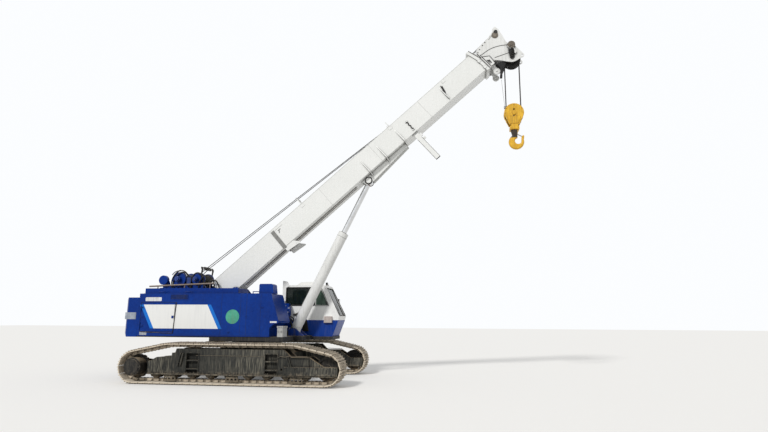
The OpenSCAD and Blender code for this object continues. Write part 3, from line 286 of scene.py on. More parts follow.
def shade_and_grime(amount, reach, colour, rough):
    """A finish's layer of painted shade in corners and recesses, with grime."""
    return "corner shade and grime", dict(Amount=amount, Reach=reach), colour, rough


SWING_X = -2.32                                          # the swing axis, in metres in the part's frame
FOOT_X, FOOT_Z = -716, 2563                              # the boom's foot pin, in millimetres from that axis
BOOM_TILT = math.radians(41.2)                           # how far the boom is raised at rest


def finish(name, dark, pale, rough, layers=(), marks=(), metal=0.0, coat=0.0, bump=0.25, skin=180.0,
           soft=0.006, wear=(0.45, BARE, 0.42, 0.9), broad=0.8, specular=0.3, on_boom=False):
    """A layered finish, mottled from dark to pale. marks: band values and a colour, painted on
    first. wear: amount, colour, roughness and metallic of the rubbed edges. layers: dirt, laid on
    in that order. skin and bump: how fine and how deep the surface's unevenness is. soft: the
    radius of its edges. broad: how close its changes of tone lie."""
    rub, bared, rub_rough, rub_metal = wear
    made = bpy.data.materials.new(name)
    made.use_nodes = True
    tree = made.node_tree
    shader = tree.nodes["Principled BSDF"]
    edge = place_effect(tree, "edge wear", Radius=soft, Amount=rub)
    tone = place_effect(tree, "mottle", Broad=broad)["Value"]
    colour = blended(tree, tone, dark, pale)
    dull = calc(tree, "ADD", calc(tree, "MULTIPLY", tone, 0.12), rough)
    where = own_place(tree)
    if on_boom:
        foot = (-SWING_X - FOOT_X / 1000, 0, -FOOT_Z / 1000)
        where = wire(tree, "Mapping", {"Vector": where, "Location": foot}).outputs[0]
        where = wire(tree, "Mapping", {"Vector": where, "Rotation": (0, BOOM_TILT, 0)}).outputs[0]
    for values, paint in marks:
        colour = blended(tree, place_effect(tree, "band", Where=where, **values)["Mask"], colour, paint)
    colour = blended(tree, edge["Mask"], colour, bared)
    dull = mixed(tree, edge["Mask"], dull, rub_rough)
    for kind, values, stain, worn in layers:
        mask = place_effect(tree, kind, **values)["Mask"]
        colour = blended(tree, mask, colour, stain)
        dull = mixed(tree, mask, dull, worn)
    height = place_effect(tree, "skin", Scale=skin)["Height"]
    uneven = wire(tree, "Bump", {"Height": height, "Normal": edge["Normal"], "Strength": bump,
                                 "Distance": 0.0015})
    for socket, value in (("Base Color", colour), ("Roughness", dull), ("Normal", uneven.outputs[0]),
                          ("Metallic", mixed(tree, edge["Mask"], metal, rub_metal)), ("Coat Weight", coat),
                          ("Coat Roughness", 0.12), ("Specular IOR Level", specular)):
        give(tree, shader.inputs[socket], value)
    return made


def dress(material, *nodes):
    """Gives CAD nodes their finish."""
    for name in nodes:
        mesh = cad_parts[name].data
        mesh.materials.clear()
        mesh.materials.append(material)


frame_paint = finish(
    "frame_paint", (0.016, 0.017, 0.016), (0.045, 0.045, 0.041), 0.62,
    layers=[runs(0.75, 55.0, (0.20, 0.185, 0.145), 0.85),
            dust(0.95, 4.0),
            mud(0.40, 0.7, 16.0, (0.30, 0.245, 0.175), 0.92),
            # painted shade: the corner layer is near black in recesses and under the belt's overhang, with
            # grime
            shade_and_grime(0.85, 0.22, (0.010, 0.010, 0.009), 0.9)],
    bump=0.5, skin=60.0, wear=(0.5, (0.30, 0.24, 0.18), 0.7, 0.3), specular=0.15)
dress(frame_paint, "carbody", "slew_ring", "track_frame_left", "track_frame_right")

# Shapes are given in millimetres, in the machine's frame, about its swing axis, or in the boom's,
# along it from its foot pin.
MACHINE = Matrix.Translation((SWING_X, 0, 0)) @ Matrix.Scale(0.001, 4)
BOOM = MACHINE @ Matrix.Translation((FOOT_X, 0, FOOT_Z)) @ Matrix.Rotation(-BOOM_TILT, 4, "Y")


def plate(shape, outline, y0, y1):
    """A plate whose outline is given in X and Z, from y0 to y1."""
    near = [shape.verts.new((x, y0, z)) for x, z in outline]
    far = [shape.verts.new((x, y1, z)) for x, z in outline]
    count = len(outline)
    shape.faces.new(near)
    shape.faces.new(far[::-1])
    for k in range(count):
        shape.faces.new((near[k], far[k], far[(k + 1) % count], near[(k + 1) % count]))


def plate_on(shape, side, outline, inner, outer):
    """A plate on one side of the machine, between two distances from its middle."""
    plate(shape, outline, *sorted((side * inner, side * outer)))


def block(shape, x0, x1, y0, y1, z0, z1):
    """A square-edged block between two places on each axis."""
    plate(shape, [(x0, z0), (x1, z0), (x1, z1), (x0, z1)], y0, y1)


def bar(shape, start, end, radius, sides=12, tip=None):
    """A round bar, or a cone where the tip has its own radius."""
    start, end = Vector(start), Vector(end)
    along = end - start
    turn = along.to_track_quat("Z", "Y").to_matrix()
    rings = []
    for point, r in ((start, radius), (end, radius if tip is None else tip)):
        rings.append([shape.verts.new(point + turn @ Vector((r * math.cos(a), r * math.sin(a), 0)))
                      for a in (math.tau * k / sides for k in range(sides))])
    shape.faces.new(rings[0][::-1])
    shape.faces.new(rings[1])
    for k in range(sides):
        after = (k + 1) % sides
        shape.faces.new((rings[0][k], rings[0][after], rings[1][after], rings[1][k])).smooth = sides > 8


def bolt(shape, at, out, radius, high):
    """A hexagon head with its washer, standing out from a face."""
    at, out = Vector(at), Vector(out)
    bar(shape, at - out * 2, at + out * high * 0.25, radius * 1.45, 14)
    bar(shape, at + out * high * 0.25, at + out * high, radius, 6)


def circle(x, z, radius, count, first=0.0, closed=False):
    """Places round a circle, as pairs. A closed one ends where it begins."""
    angles = [first + math.tau * k / count for k in range(count + closed)]
    return [(x + radius * math.cos(a), z + radius * math.sin(a)) for a in angles]


def bolts_round(shape, x, y, z, ring, count, radius, high, first=0.0):
    """Bolts round a centre, on an upright face that looks away from the machine's middle."""
    for bolt_x, bolt_z in circle(x, z, ring, count, first):
        bolt(shape, (bolt_x, y, bolt_z), (0, math.copysign(1, y), 0), radius, high)


def pipe(shape, points, radius, sides, lay=0.0):
    """A pipe or hose along points that lie close together. With a lay, the length of one turn of
    its strands, it is a rope of six strands."""
    points = [Vector(p) for p in points]
    side, last, run = Vector((0.013, 1, 0.017)), None, 0.0
    for k, point in enumerate(points):
        along = (points[min(k + 1, len(points) - 1)] - points[max(k - 1, 0)]).normalized()
        side = (side - along * side.dot(along)).normalized()
        third = along.cross(side)
        if k:
            run += (point - points[k - 1]).length
        ring = []
        for j in range(sides):
            a = math.tau * j / sides
            r = radius * (0.80 + 0.22 * abs(math.cos(3 * (a - math.tau * run / lay)))) if lay else radius
            ring.append(shape.verts.new(point + r * (side * math.cos(a) + third * math.sin(a))))
        if last:
            for j in range(sides):
                after = (j + 1) % sides
                shape.faces.new((last[j], last[after], ring[after], ring[j])).smooth = True
        else:
            shape.faces.new(ring[::-1])
        last = ring
    shape.faces.new(last)


def curve_through(knots, steps=6):
    """Points on a smooth line through the knots."""
    knots = [Vector(k) for k in knots]
    padded = [2 * knots[0] - knots[1]] + knots + [2 * knots[-1] - knots[-2]]
    points = []
    for a, b, c, d in zip(padded, padded[1:], padded[2:], padded[3:]):
        for k in range(steps):
            t = k / steps
            points.append(0.5 * (2 * b + (c - a) * t + (2 * a - 5 * b + 4 * c - d) * t * t
                                 + (3 * b - a - 3 * c + d) * t ** 3))
    return points + [knots[-1]]


def make(name, body, material, shape, where=MACHINE, round_edges=0.0):
    """Turns a shape into a piece that rides on a body."""
    shape.transform(where)
    bmesh.ops.recalc_face_normals(shape, faces=shape.faces)
    mesh = bpy.data.meshes.new(name)
    shape.to_mesh(mesh)
    shape.free()
    piece = bpy.data.objects.new(name, mesh)
    bpy.context.collection.objects.link(piece)
    mesh.materials.append(material)
    if round_edges:
        soft = piece.modifiers.new("round_edges", "BEVEL")
        soft.width, soft.segments, soft.limit_method = round_edges, 2, "ANGLE"
        soft.angle_limit = math.radians(40)
    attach(piece, body)
    return piece


for side, word in ((1, "left"), (-1, "right")):
    fittings = bmesh.new()
    y_out = side * 1980                                  # the frame's outer face
    for k in range(24):                                  # bolts along the lower rail
        bolt(fittings, (-2120 + k * 200, y_out, 308), (0, side, 0), 13, 12)
    for x in (-985, 1168):                               # rivet heads round the step recesses
        for z in (330, 480, 640, 780):
            for s in (-1, 1):
                bolt(fittings, (x + s * 176, side * 1994, z), (0, side, 0), 7, 7)
    for x in (1560, 1830, 2100, 2370, 2640, 2860):       # bolts of the idler's guard box
        for z in (325, 465):
            bolt(fittings, (x, side * 2035, z), (0, side, 0), 15, 12)
    bead = [(-900 + 1880 * t / 60, y_out, 742 + 2 * math.sin(t * 1.9)) for t in range(61)]
    pipe(fittings, bead, 7, 6)                           # weld bead along the plate's upper step
    line = [(1330, side * 1985, 700), (1420, side * 2010, 745), (1560, side * 2022, 735),
            (1700, side * 2020, 760), (1900, side * 2008, 752), (2150, side * 2000, 748)]
    pipe(fittings, curve_through(line), 9, 8)            # grease line to the idler's guard box
    make(f"frame_fittings_{word}", "undercarriage", frame_paint, fittings)

ring_bolts = bmesh.new()
for x, y in circle(0, 0, 690, 40, first=math.pi / 40):
    bolt(ring_bolts, (x, y, 982), (0, 0, 1), 13, 16)
make("slew_ring_bolts", "undercarriage", frame_paint, ring_bolts)

# Tracks: cast shoes bolted to forged links, pinned into a loop of 62. Each shoe carries three low
# ridges. Tan dust sits in every corner, darkened there by painted shade, and the ridges are rubbed
# bright.
WHEEL, CHAIN, SHOE, RIDGE, SHOES = 300, 85, 25, 30, 62   # wheel's radius, heights on it, and count
WHEEL_X, WHEEL_Z = 3050 - WHEEL - CHAIN - SHOE - RIDGE, 440
BENDS = [(-WHEEL_X, WHEEL_Z, WHEEL + CHAIN), (WHEEL_X, WHEEL_Z, WHEEL + CHAIN), (1720, 600, 420),
         (-1660, 600, 420)]                              # where the belt bends: centres and radii


def belt_legs():
    """Straight runs and arcs of the shoe plates' inner face, in running order."""
    legs = []
    for k, (x, z, r) in enumerate(BENDS):
        x2, z2, r2 = BENDS[(k + 1) % 4]
        span = math.hypot(x2 - x, z2 - z)
        a = math.atan2(z2 - z, x2 - x) - math.pi / 2 + math.asin((r - r2) / span)
        start = Vector((x + r * math.cos(a), z + r * math.sin(a)))
        end = Vector((x2 + r2 * math.cos(a), z2 + r2 * math.sin(a)))
        legs.append([start, end, a, (x2, z2, r2)])
    for k, leg in enumerate(legs):
        leg.append((legs[(k + 1) % 4][2] - leg[2]) % math.tau)
    return legs


LEGS = belt_legs()
BELT = sum((end - start).length + wheel[2] * turn for start, end, a, wheel, turn in LEGS)


def on_belt(run):
    """The point on the belt at a running length."""
    run %= BELT
    for start, end, a, wheel, turn in LEGS:
        length = (end - start).length
        if run <= length:
            return start + (end - start) * run / length
        if run <= length + wheel[2] * turn:
            a += (run - length) / wheel[2]
            return Vector((wheel[0] + wheel[2] * math.cos(a), wheel[1] + wheel[2] * math.sin(a)))
        run -= length + wheel[2] * turn
    return LEGS[0][0]


PITCH = BELT / SHOES
TRACK_Y = 1720                                           # from the machine's middle to a track's
# a shoe's section: places along it, in pitches, and heights over its inner face
SHOE_SECTION = [(-0.49, 0), (-0.49, 10), (-0.46, 25), (-0.405, 25), (-0.385, 50), (-0.35, 50), (-0.33, 25),
                (-0.04, 25), (-0.02, 55), (0.02, 55), (0.04, 25), (0.33, 25), (0.35, 50), (0.385, 50),
                (0.405, 25), (0.45, 22), (0.475, 9), (0.475, 0)]
shoe_steel = finish(
    "shoe_steel", (0.27, 0.225, 0.17), (0.46, 0.395, 0.31), 0.75, metal=0.0,
    layers=[mud(2.4, 0.8, 7.0, (0.66, 0.575, 0.455), 0.95),
            dust(1.0, 7.0, (0.74, 0.655, 0.535), 0.97),
            # painted shade: the corner layer darkens the shoes' corners and joints, with grime
            shade_and_grime(0.9, 0.06, (0.07, 0.055, 0.042), 0.9)],
    bump=0.9, skin=90.0, soft=0.008, wear=(0.5, (0.46, 0.41, 0.35), 0.5, 0.4), broad=1.6)
for side, word in ((1, "left"), (-1, "right")):
    shoes, links = bmesh.new(), bmesh.new()
    middle = side * TRACK_Y
    for k in range(SHOES):
        first, last = on_belt((k + 0.03) * PITCH), on_belt((k + 0.97) * PITCH)
        along = (last - first).normalized()
        out = Vector((along.y, -along.x))
        centre = (first + last) / 2

        def at(t, n):
            """A place on this shoe, that far along and out."""
            p = centre + along * t + out * n
            return p.x, p.y

        plate(shoes, [at(t * PITCH, n) for t, n in SHOE_SECTION], middle - 380, middle + 380)
        facing = Vector((out.x, 0, out.y))
        for t in (-0.19, 0.19):
            for y in (-75, 75):
                x, z = at(t * PITCH, SHOE)
                bolt(shoes, (x, middle + y, z), facing, 13, 15)
        for y in (-1, 1):
            for t0, y0 in ((-0.62, 60), (-0.05, 86)):
                outline = [(0, -20), (0.05, -2), (0.60, -2), (0.66, -20), (0.66, -62), (0.58, -80),
                           (0.36, -70), (0.28, -70), (0.06, -80), (0, -62)]
                plate(links, [at((t0 + t) * PITCH, n) for t, n in outline],
                      *sorted((middle + y * y0, middle + y * (y0 + 24))))
        x, z = at(0.49 * PITCH, -44)
        bar(links, (x, middle - 118, z), (x, middle + 118, z), 19, 10)
        bar(links, (x, middle - 60, z), (x, middle + 60, z), 30, 10)
    track = make(f"track_shoes_{word}", "undercarriage", shoe_steel, shoes)
    make(f"track_links_{word}", "undercarriage", shoe_steel, links)
    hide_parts(f"track_{word}")

# Drives, idlers and rollers: castings with dark paint under grease and dirt. The drive's drum has
# a toothed rim and a cover with oil plugs.
drive_iron = finish(
    "drive_iron", (0.008, 0.008, 0.008), (0.022, 0.021, 0.020), 0.5,
    layers=[runs(0.3, 34.0, (0.11, 0.095, 0.075), 0.8),
            dust(0.7, 8.0),
            mud(0.36, 0.55, 14.0)],
    bump=0.7, skin=70.0, wear=(0.5, (0.28, 0.25, 0.21), 0.5, 0.6), broad=1.5, specular=0.2)
for side, word in ((1, "left"), (-1, "right")):
    dress(drive_iron, f"final_drive_{word}", f"idler_{word}", f"rollers_{word}")
    drum = bmesh.new()
    x, z = -WHEEL_X, WHEEL_Z
    for cx, cz in circle(0, 0, 1, 30):                   # teeth round the drum's rim
        tooth = [(x + r * cx - half * cz, z + r * cz + half * cx)
                 for r, half in ((222, 11), (236, 9), (236, -9), (222, -11))]
        plate_on(drum, side, tooth, 1930, 2096)
    bar(drum, (x, side * 2119, z), (x, side * 2122, z), 150, 40)
    bar(drum, (x, side * 2115, z), (x, side * 2124, z), 60, 32)
    bolts_round(drum, x, side * 2118, z, 105, 3, 14, 7, first=0.5)     # oil plugs
    make(f"drive_rim_{word}", "undercarriage", drive_iron, drum, round_edges=0.002)
    caps = bmesh.new()
    for k in range(9):                                   # end caps of the bottom rollers' shafts
        x = -2050 + k * 512.5
        bar(caps, (x, side * 1981, 292), (x, side * 1988, 292), 26, 16)
        for s in (-1, 1):
            bolt(caps, (x + s * 64, side * 1980, 264), (0, side, 0), 10, 10)
    make(f"roller_caps_{word}", "undercarriage", drive_iron, caps)

# Deck: a thick plate with girders under it, in black satin paint, with the cylinder's lugs at the
# front, whose outer faces are blue. A thin dust film lies on top.
def band(x0, x1, low, high, lean=0.0, beyond=-1.0):
    """A mark's ends and levels, in metres. lean: how far its ends move for each metre up. beyond:
    how far out from the machine's middle it begins."""
    return dict(From=x0, To=x1, Low=low, High=high, Lean=lean, Beyond=beyond)


deck_black = finish(
    "deck_black", (0.012, 0.012, 0.014), (0.032, 0.032, 0.034), 0.5,
    layers=[runs(0.35, 18.0, (0.10, 0.09, 0.07), 0.8),
            dust(0.75, 3.0, (0.25, 0.21, 0.16), 0.9)],
    marks=[(band(-1.30, -0.80, 1.225, 2.2, beyond=0.15), (0.006, 0.038, 0.245))],
    bump=0.35, skin=120.0, wear=(0.42, BARE, 0.5, 0.7), specular=0.15)
dress(deck_black, "deck")

# Counterweight, hood, tanks, winch carrier and intake: folded and cast steel in gloss royal blue,
# a little faded and dusty. The hood's side has a bare white panel between two lighter blue bands,
# a vent, a hinged door and three latches.
BLUE_DARK, BLUE = (0.0008, 0.021, 0.165), (0.0014, 0.036, 0.255)
SKY, WHITE = (0.010, 0.15, 0.56), (0.74, 0.745, 0.735)


def stripe(x0, x1, z0, z1, lean=0.0, beyond=-1.0):
    """A band given in the machine's millimetres."""
    return band(x0 / 1000 + SWING_X, x1 / 1000 + SWING_X, z0 / 1000, z1 / 1000, lean, beyond)


blue_layers = [runs(0.07, 36.0, (0.045, 0.06, 0.14), 0.6),
               dust(0.4, 2.5, (0.22, 0.22, 0.25), 0.85),
               # painted shade: the corner layer darkens corners to dark blue, with grime
               shade_and_grime(0.5, 0.10, (0.006, 0.012, 0.03), 0.7)]
hood_blue = finish(
    "hood_blue", BLUE_DARK, BLUE, 0.26, blue_layers,
    marks=[(stripe(-2613, -497, 1420, 2076, 0.53, 1.35), SKY),
           (stripe(-2507, -603, 1420, 2076, 0.53, 1.35), WHITE)],
    coat=0.05, bump=0.12, skin=220.0, wear=(0.36, (0.16, 0.18, 0.24), 0.45, 0.3), broad=0.7, specular=0.11)
plain_blue = finish("plain_blue", BLUE_DARK, BLUE, 0.3, blue_layers, coat=0.04, bump=0.15, skin=200.0,
                    wear=(0.38, (0.16, 0.18, 0.24), 0.45, 0.3), broad=0.7, specular=0.11)
dress(hood_blue, "hood", "hood_door")
dress(plain_blue, "boom_carrier", "counterweight", "air_intake", "hydraulic_tank", "fuel_tank")
rubber = finish("black_rubber", (0.010, 0.010, 0.010), (0.026, 0.026, 0.026), 0.6,
                layers=[dust(0.5, 9.0)],
                bump=0.3, skin=300.0, soft=0.002, wear=(0.3, (0.07, 0.07, 0.07), 0.8, 0.0), specular=0.2)
blank_plate = finish("blank_plate", (0.55, 0.56, 0.57), (0.76, 0.77, 0.78), 0.35,
                     layers=[runs(0.4, 40.0, (0.3, 0.28, 0.24), 0.8)],
                     coat=0.3, bump=0.05, soft=0.001, wear=(0.4, (0.3, 0.3, 0.3), 0.5, 0.2), broad=3.0)
zinc = finish("zinc_steel", (0.20, 0.20, 0.20), (0.42, 0.42, 0.41), 0.35,
              layers=[dust(0.4, 12.0)],
              metal=0.9, bump=0.2, skin=260.0, soft=0.002, wear=(0.5, (0.6, 0.6, 0.58), 0.25, 1.0))
emblem_green = finish("emblem_green", (0.035, 0.25, 0.16), (0.06, 0.36, 0.24), 0.35,
                      layers=[runs(0.2, 30.0, (0.2, 0.2, 0.16), 0.7)],
                      coat=0.3, bump=0.05, soft=0.001, wear=(0.2, (0.4, 0.4, 0.4), 0.5, 0.0), broad=4.0)


def rounded(x0, x1, z0, z1, r):
    """Outline of a plate with round corners."""
    corners = [(x1 - r, z0 + r, -90), (x1 - r, z1 - r, 0), (x0 + r, z1 - r, 90), (x0 + r, z0 + r, 180)]
    turns = [(x, z, math.radians(a + 22.5 * k)) for x, z, a in corners for k in range(5)]
    return [(x + r * math.cos(a), z + r * math.sin(a)) for x, z, a in turns]


def ring_plate(shape, outline, inner, y0, y1):
    """A flat frame between two outlines with the same number of corners."""
    loops = [[shape.verts.new((x, y, z)) for x, z in line] for y in (y0, y1) for line in (outline, inner)]
    count = len(outline)
    for a, b in ((0, 1), (1, 3), (3, 2), (2, 0)):
        for k in range(count):
            after = (k + 1) % count
            shape.faces.new((loops[a][k], loops[a][after], loops[b][after], loops[b][k]))


IN, FLUSH, PROUD = -1399, -1401.2, -1403                 # just inside the hood's near side, and out of it
seams = bmesh.new()
for x in (-533, 20, 194, 596):
    block(seams, x - 2.5, x + 2.5, FLUSH, IN, 1240, 2368)
block(seams, -1895, 850, FLUSH, IN, 1236, 1241)
door_edge = rounded(-2936, -1902, 1326, 2146, 20)
ring_plate(seams, door_edge, rounded(-2929, -1909, 1333, 2139, 14), -1401.5, -1396)
make("hood_seams", "upper", rubber, seams)
door_gap = bmesh.new()                                   # weather seal at the door's open edge and foot
for radius, knots in (
        (11, [(-1868, -1404, 2146), (-1888, -1406, 1900), (-1902, -1406, 1600), (-1920, -1404, 1300)]),
        (8, [(-1920, -1403, 1290), (-2200, -1404, 1296), (-2560, -1404, 1308), (-2900, -1403, 1322)])):
    pipe(door_gap, curve_through(knots), radius, 8)
make("hood_door_seal", "upper", rubber, door_gap)

# black back behind the louvres: painted shade for the dark inside of the hood
louvres = bmesh.new()
block(louvres, -2058, -1545, -1402, IN, 2216, 2360)
make("hood_vent_shade_back", "upper", deck_black, louvres)
louvres = bmesh.new()
for k in range(8):
    z = 2226 + k * 17.5
    block(louvres, -2050, -1553, -1410, -1400, z, z + 8)
ring_plate(louvres, rounded(-2066, -1537, 2208, 2368, 14), rounded(-2052, -1551, 2222, 2354, 6), -1411, -1400)
make("hood_vent", "upper", plain_blue, louvres, round_edges=0.0015)

plates = bmesh.new()
plate(plates, rounded(-2813, -2326, 2172, 2280, 22), PROUD, IN)
plate(plates, rounded(880, 1070, 1590, 1634, 6), PROUD, IN)
make("hood_blank_plates", "upper", blank_plate, plates)
plates = bmesh.new()
plate(plates, rounded(-2918, -2704, 1236, 1326, 10), PROUD, IN)
for s in (-1, 1):
    plate_on(plates, s, rounded(-3396, -3066, 1668, 1858, 12), -IN, -PROUD)
weight_plate = finish("weight_plate", (0.22, 0.25, 0.31), (0.42, 0.45, 0.50), 0.4,
                      layers=[runs(0.5, 50.0, (0.08, 0.085, 0.10), 0.7)], bump=0.2)
make("weight_blank_plates", "upper", weight_plate, plates)
disc, rim = bmesh.new(), bmesh.new()                     # plain green disc with a thin rim
DISC = circle(-201, 1751, 184, 64)
plate(disc, DISC, PROUD, IN)
ring_plate(rim, circle(-201, 1751, 194, 64), DISC, PROUD - 1, IN)
make("emblem_disc", "upper", emblem_green, disc)
make("emblem_rim", "upper", emblem_green, rim)

latches = bmesh.new()
for x, z in ((189, 1770), (-300, 1330), (640, 2000)):
    plate(latches, rounded(x - 32, x + 32, z - 22, z + 22, 8), -1406, IN)
    bar(latches, (x, -1406, z), (x, -1416, z), 9, 12)
    plate(latches, rounded(x - 22, x + 22, z - 5, z + 5, 4), -1419, -1413)
make("hood_latches", "upper", plain_blue, latches, round_edges=0.001)
hinges = bmesh.new()
for z in (1480, 1735, 1990):
    plate(hinges, rounded(-2926, -2850, z - 24, z + 24, 6), -1408, -1402)
    for x in (-2890, -2866):
        bolt(hinges, (x, -1408, z), (0, -1, 0), 6, 5)
plate(hinges, rounded(-1990, -1930, 1700, 1770, 8), -1412, -1402)
plate(hinges, rounded(-1978, -1942, 1729, 1741, 5), -1422, -1412)
make("hood_door_hardware", "hood_door", plain_blue, hinges, round_edges=0.001)

handles = bmesh.new()                                    # grab handles and edge bolts on the hood's roof
ROOF, GRIP = 2385, 2440
for x in range(-2880, 800, 240):
    bolt(handles, (x, -1372, ROOF), (0, 0, 1), 9, 7)
for x in (-2500, -1700, 300):
    for end in (x, x + 180):
        bar(handles, (end, -1250, ROOF - 1), (end, -1250, GRIP), 11, 12)
    bar(handles, (x - 10, -1250, GRIP), (x + 190, -1250, GRIP), 11, 12)
make("hood_roof_handles", "upper", plain_blue, handles)

# Battery box and the rail along the hood's roof: a folded grey box shut by two zinc latches, and a
# steel tube whose brown paint is worn and rusty.
grey_paint = finish("battery_grey", (0.33, 0.335, 0.33), (0.52, 0.525, 0.52), 0.45,
                    layers=[runs(0.5, 20.0, (0.16, 0.14, 0.11), 0.8),
                            dust(0.6, 6.0)], bump=0.3)
dress(grey_paint, "battery_box")
rail_brown = finish("rail_brown", (0.10, 0.072, 0.055), (0.26, 0.21, 0.18), 0.55,
                    layers=[dust(0.6, 9.0)],
                    metal=0.1, bump=0.6, skin=130.0, wear=(0.5, (0.35, 0.16, 0.07), 0.8, 0.1))
dress(rail_brown, "hood_rail")
box_trim = bmesh.new()
for x in (1095, 1180):
    plate(box_trim, rounded(x, x + 44, 1330, 1392, 6), -1378, -1369)
bar(box_trim, (1110, -1384, 1480), (1215, -1384, 1480), 7, 10)
for x in (1110, 1215):
    bar(box_trim, (x, -1384, 1480), (x, -1366, 1480), 7, 10)
make("battery_box_latches", "upper", zinc, box_trim, round_edges=0.001)

# Winches: blue drums between the carrier's plates, wound with 22 mm wire rope, with their motors
# and a valve block bolted to the near plate and black pressure hoses over them.
winch_blue = finish("winch_blue", (0.004, 0.022, 0.12), (0.012, 0.05, 0.25), 0.35,
                    layers=[dust(0.4, 9.0, (0.2, 0.18, 0.15), 0.9),
                            runs(0.5, 30.0, (0.02, 0.018, 0.015), 0.35)],
                    coat=0.2, bump=0.3, wear=(0.45, (0.25, 0.26, 0.30), 0.4, 0.6), broad=2.0)
dress(winch_blue, "main_winch", "aux_winch")
rope_steel = finish("greased_rope", (0.014, 0.013, 0.012), (0.05, 0.047, 0.042), 0.45,
                    layers=[dust(0.3, 20.0, rough=0.9)], metal=0.5, bump=0.3, skin=500.0, soft=0.002,
                    wear=(0.4, (0.20, 0.19, 0.18), 0.4, 1.0), broad=3.0)


WINCHES = {"main_winch": -2385, "aux_winch": -1825}
AXLE_Z, COIL, END_Y, STEP = 2855, 162, 312, 23           # winches' height; rope's radius, ends and step
for word, x in WINCHES.items():
    winding = bmesh.new()
    turned = [math.tau * k / 20 for k in range(int(2 * END_Y / STEP) * 20)]
    pipe(winding, [(x + COIL * math.cos(a), -END_Y + STEP * a / math.tau, AXLE_Z + COIL * math.sin(a))
                   for a in turned], 11.4, 7)
    make(f"rope_on_{word}", word, rope_steel, winding)
    caps = bmesh.new()
    for s in (-1, 1):                                    # bolts of the drum's end flanges
        bolts_round(caps, x, s * 351, AXLE_Z, 95, 8, 11, 8)
    make(f"{word}_bolts", word, zinc, caps)

hoses = bmesh.new()
for k, knots in enumerate((
        [(-2620, -395, 2560), (-2600, -440, 2850), (-2440, -450, 3080), (-2280, -430, 3110),
         (-2140, -420, 3000), (-2100, -400, 2700)],
        [(-2560, -400, 2540), (-2540, -470, 2800), (-2380, -480, 3020), (-2200, -460, 3060),
         (-2060, -430, 2920), (-2030, -400, 2650)],
        [(-2000, -400, 2560), (-1990, -440, 2800), (-1900, -450, 3000), (-1760, -440, 3040),
         (-1640, -410, 2900), (-1590, -395, 2600)],
        [(-1760, -400, 2560), (-1720, -450, 2760), (-1600, -460, 2930), (-1440, -440, 2960),
         (-1300, -410, 2800), (-1260, -395, 2560)],
        [(-1500, -400, 2540), (-1450, -430, 2680), (-1330, -450, 2810), (-1190, -440, 2790),
         (-1100, -410, 2600), (-1080, -395, 2450)])):
    pipe(hoses, curve_through(knots, 9), 17 if k % 2 else 20, 10)
    for end in (knots[0], knots[-1]):
        bar(hoses, end, (end[0], end[1], end[2] - 60), 23, 6)
make("winch_hoses", "upper", rubber, hoses)

motors = bmesh.new()                                     # motors on the axles, and the valve block
for x, r in zip(WINCHES.values(), (82, 70)):
    bar(motors, (x, -484, AXLE_Z), (x, -560, AXLE_Z), r, 28)
    bar(motors, (x, -560, AXLE_Z), (x, -600, AXLE_Z), r * 0.72, 24)
    bolts_round(motors, x, -560, AXLE_Z, r * 0.82, 6, 8, 7)
block(motors, -2120, -1990, -470, -376, 2720, 2900)
for k in range(4):
    bar(motors, (-2105 + k * 32, -423, 2898), (-2105 + k * 32, -423, 2945), 11, 8)
make("winch_motors", "upper", winch_blue, motors, round_edges=0.003)
guard = bmesh.new()                                      # pale rope guide over the main winch
for degrees in range(20, 150, 10):
    first, last = math.radians(degrees), math.radians(degrees + 10)
    plate(guard, [(WINCHES["main_winch"] + r * math.cos(a), AXLE_Z + r * math.sin(a))
                  for r, a in ((275, first), (275, last), (263, last), (263, first))], -455, -395)
make("winch_rope_guide", "upper", blank_plate, guard)
carrier_bolts = bmesh.new()
CARRIER_SIDE = 375
for s in (-1, 1):                                        # along the carrier's foot, and round its head pin
    for x in range(-2900, -400, 400):
        bolt(carrier_bolts, (x, s * CARRIER_SIDE, 1300), (0, s, 0), 20, 16)
    bolts_round(carrier_bolts, -606, s * CARRIER_SIDE, 2513, 98, 8, 9, 9)
make("carrier_bolts", "upper", zinc, carrier_bolts)

# Tanks on the far side: black straps hold the two blue tanks, which have screwed filler caps and
# a zinc-plated sight gauge.
tank_trim = bmesh.new()
for x in (-2850, -2000, -1600, -1000, -420):
    top = 2262 if x < -1835 else 1982
    block(tank_trim, x - 30, x + 30, 1399, 1406, 1217, top + 6)
    block(tank_trim, x - 30, x + 30, 440, 1406, top - 2, top + 6)
for x, y, z in ((-2395, 900, 2310), (-602, 1150, 2030)):
    bar(tank_trim, (x, y, z - 14), (x, y, z + 6), 58, 24)
    bar(tank_trim, (x, y, z + 6), (x, y, z + 30), 20, 6)
make("tank_straps", "upper", deck_black, tank_trim, round_edges=0.002)
gauge = bmesh.new()
block(gauge, -2240, -2190, 1399, 1412, 1700, 2050)
bar(gauge, (-2215, 1414, 1715), (-2215, 1414, 2035), 9, 12)
make("tank_sight_gauge", "upper", zinc, gauge, round_edges=0.001)

# Cab: welded shell, white above and blue below, with rubber-sealed tinted glass all round. The
# front screen leans back, and lamps, a mirror and handrails are bolted on.
# The cab's white is paler than the boom's: painted light that makes up for the shade the boom casts on its
# near wall.
cab_paint = finish(
    "cab_paint", (0.80, 0.805, 0.795), (0.87, 0.875, 0.865), 0.3,
    marks=[(stripe(-4000, 4000, 0, 1668), BLUE)],
    layers=[runs(0.10, 40.0, (0.30, 0.285, 0.25), 0.7),
            dust(0.5, 4.0, rough=0.9)],
    coat=0.06, bump=0.12, skin=220.0, wear=(0.36, (0.30, 0.30, 0.30), 0.45, 0.4), specular=0.15)
dress(cab_paint, "cab_shell", "cab_door")
glass, tree = blank("tinted_glass")
film = place_effect(tree, "dirt runs", Amount=0.35, Width=30.0)["Mask"]
fore_pane = place_effect(tree, "band", Where=own_place(tree), **band(-0.69, -0.37, 2.1, 2.64))["Mask"]
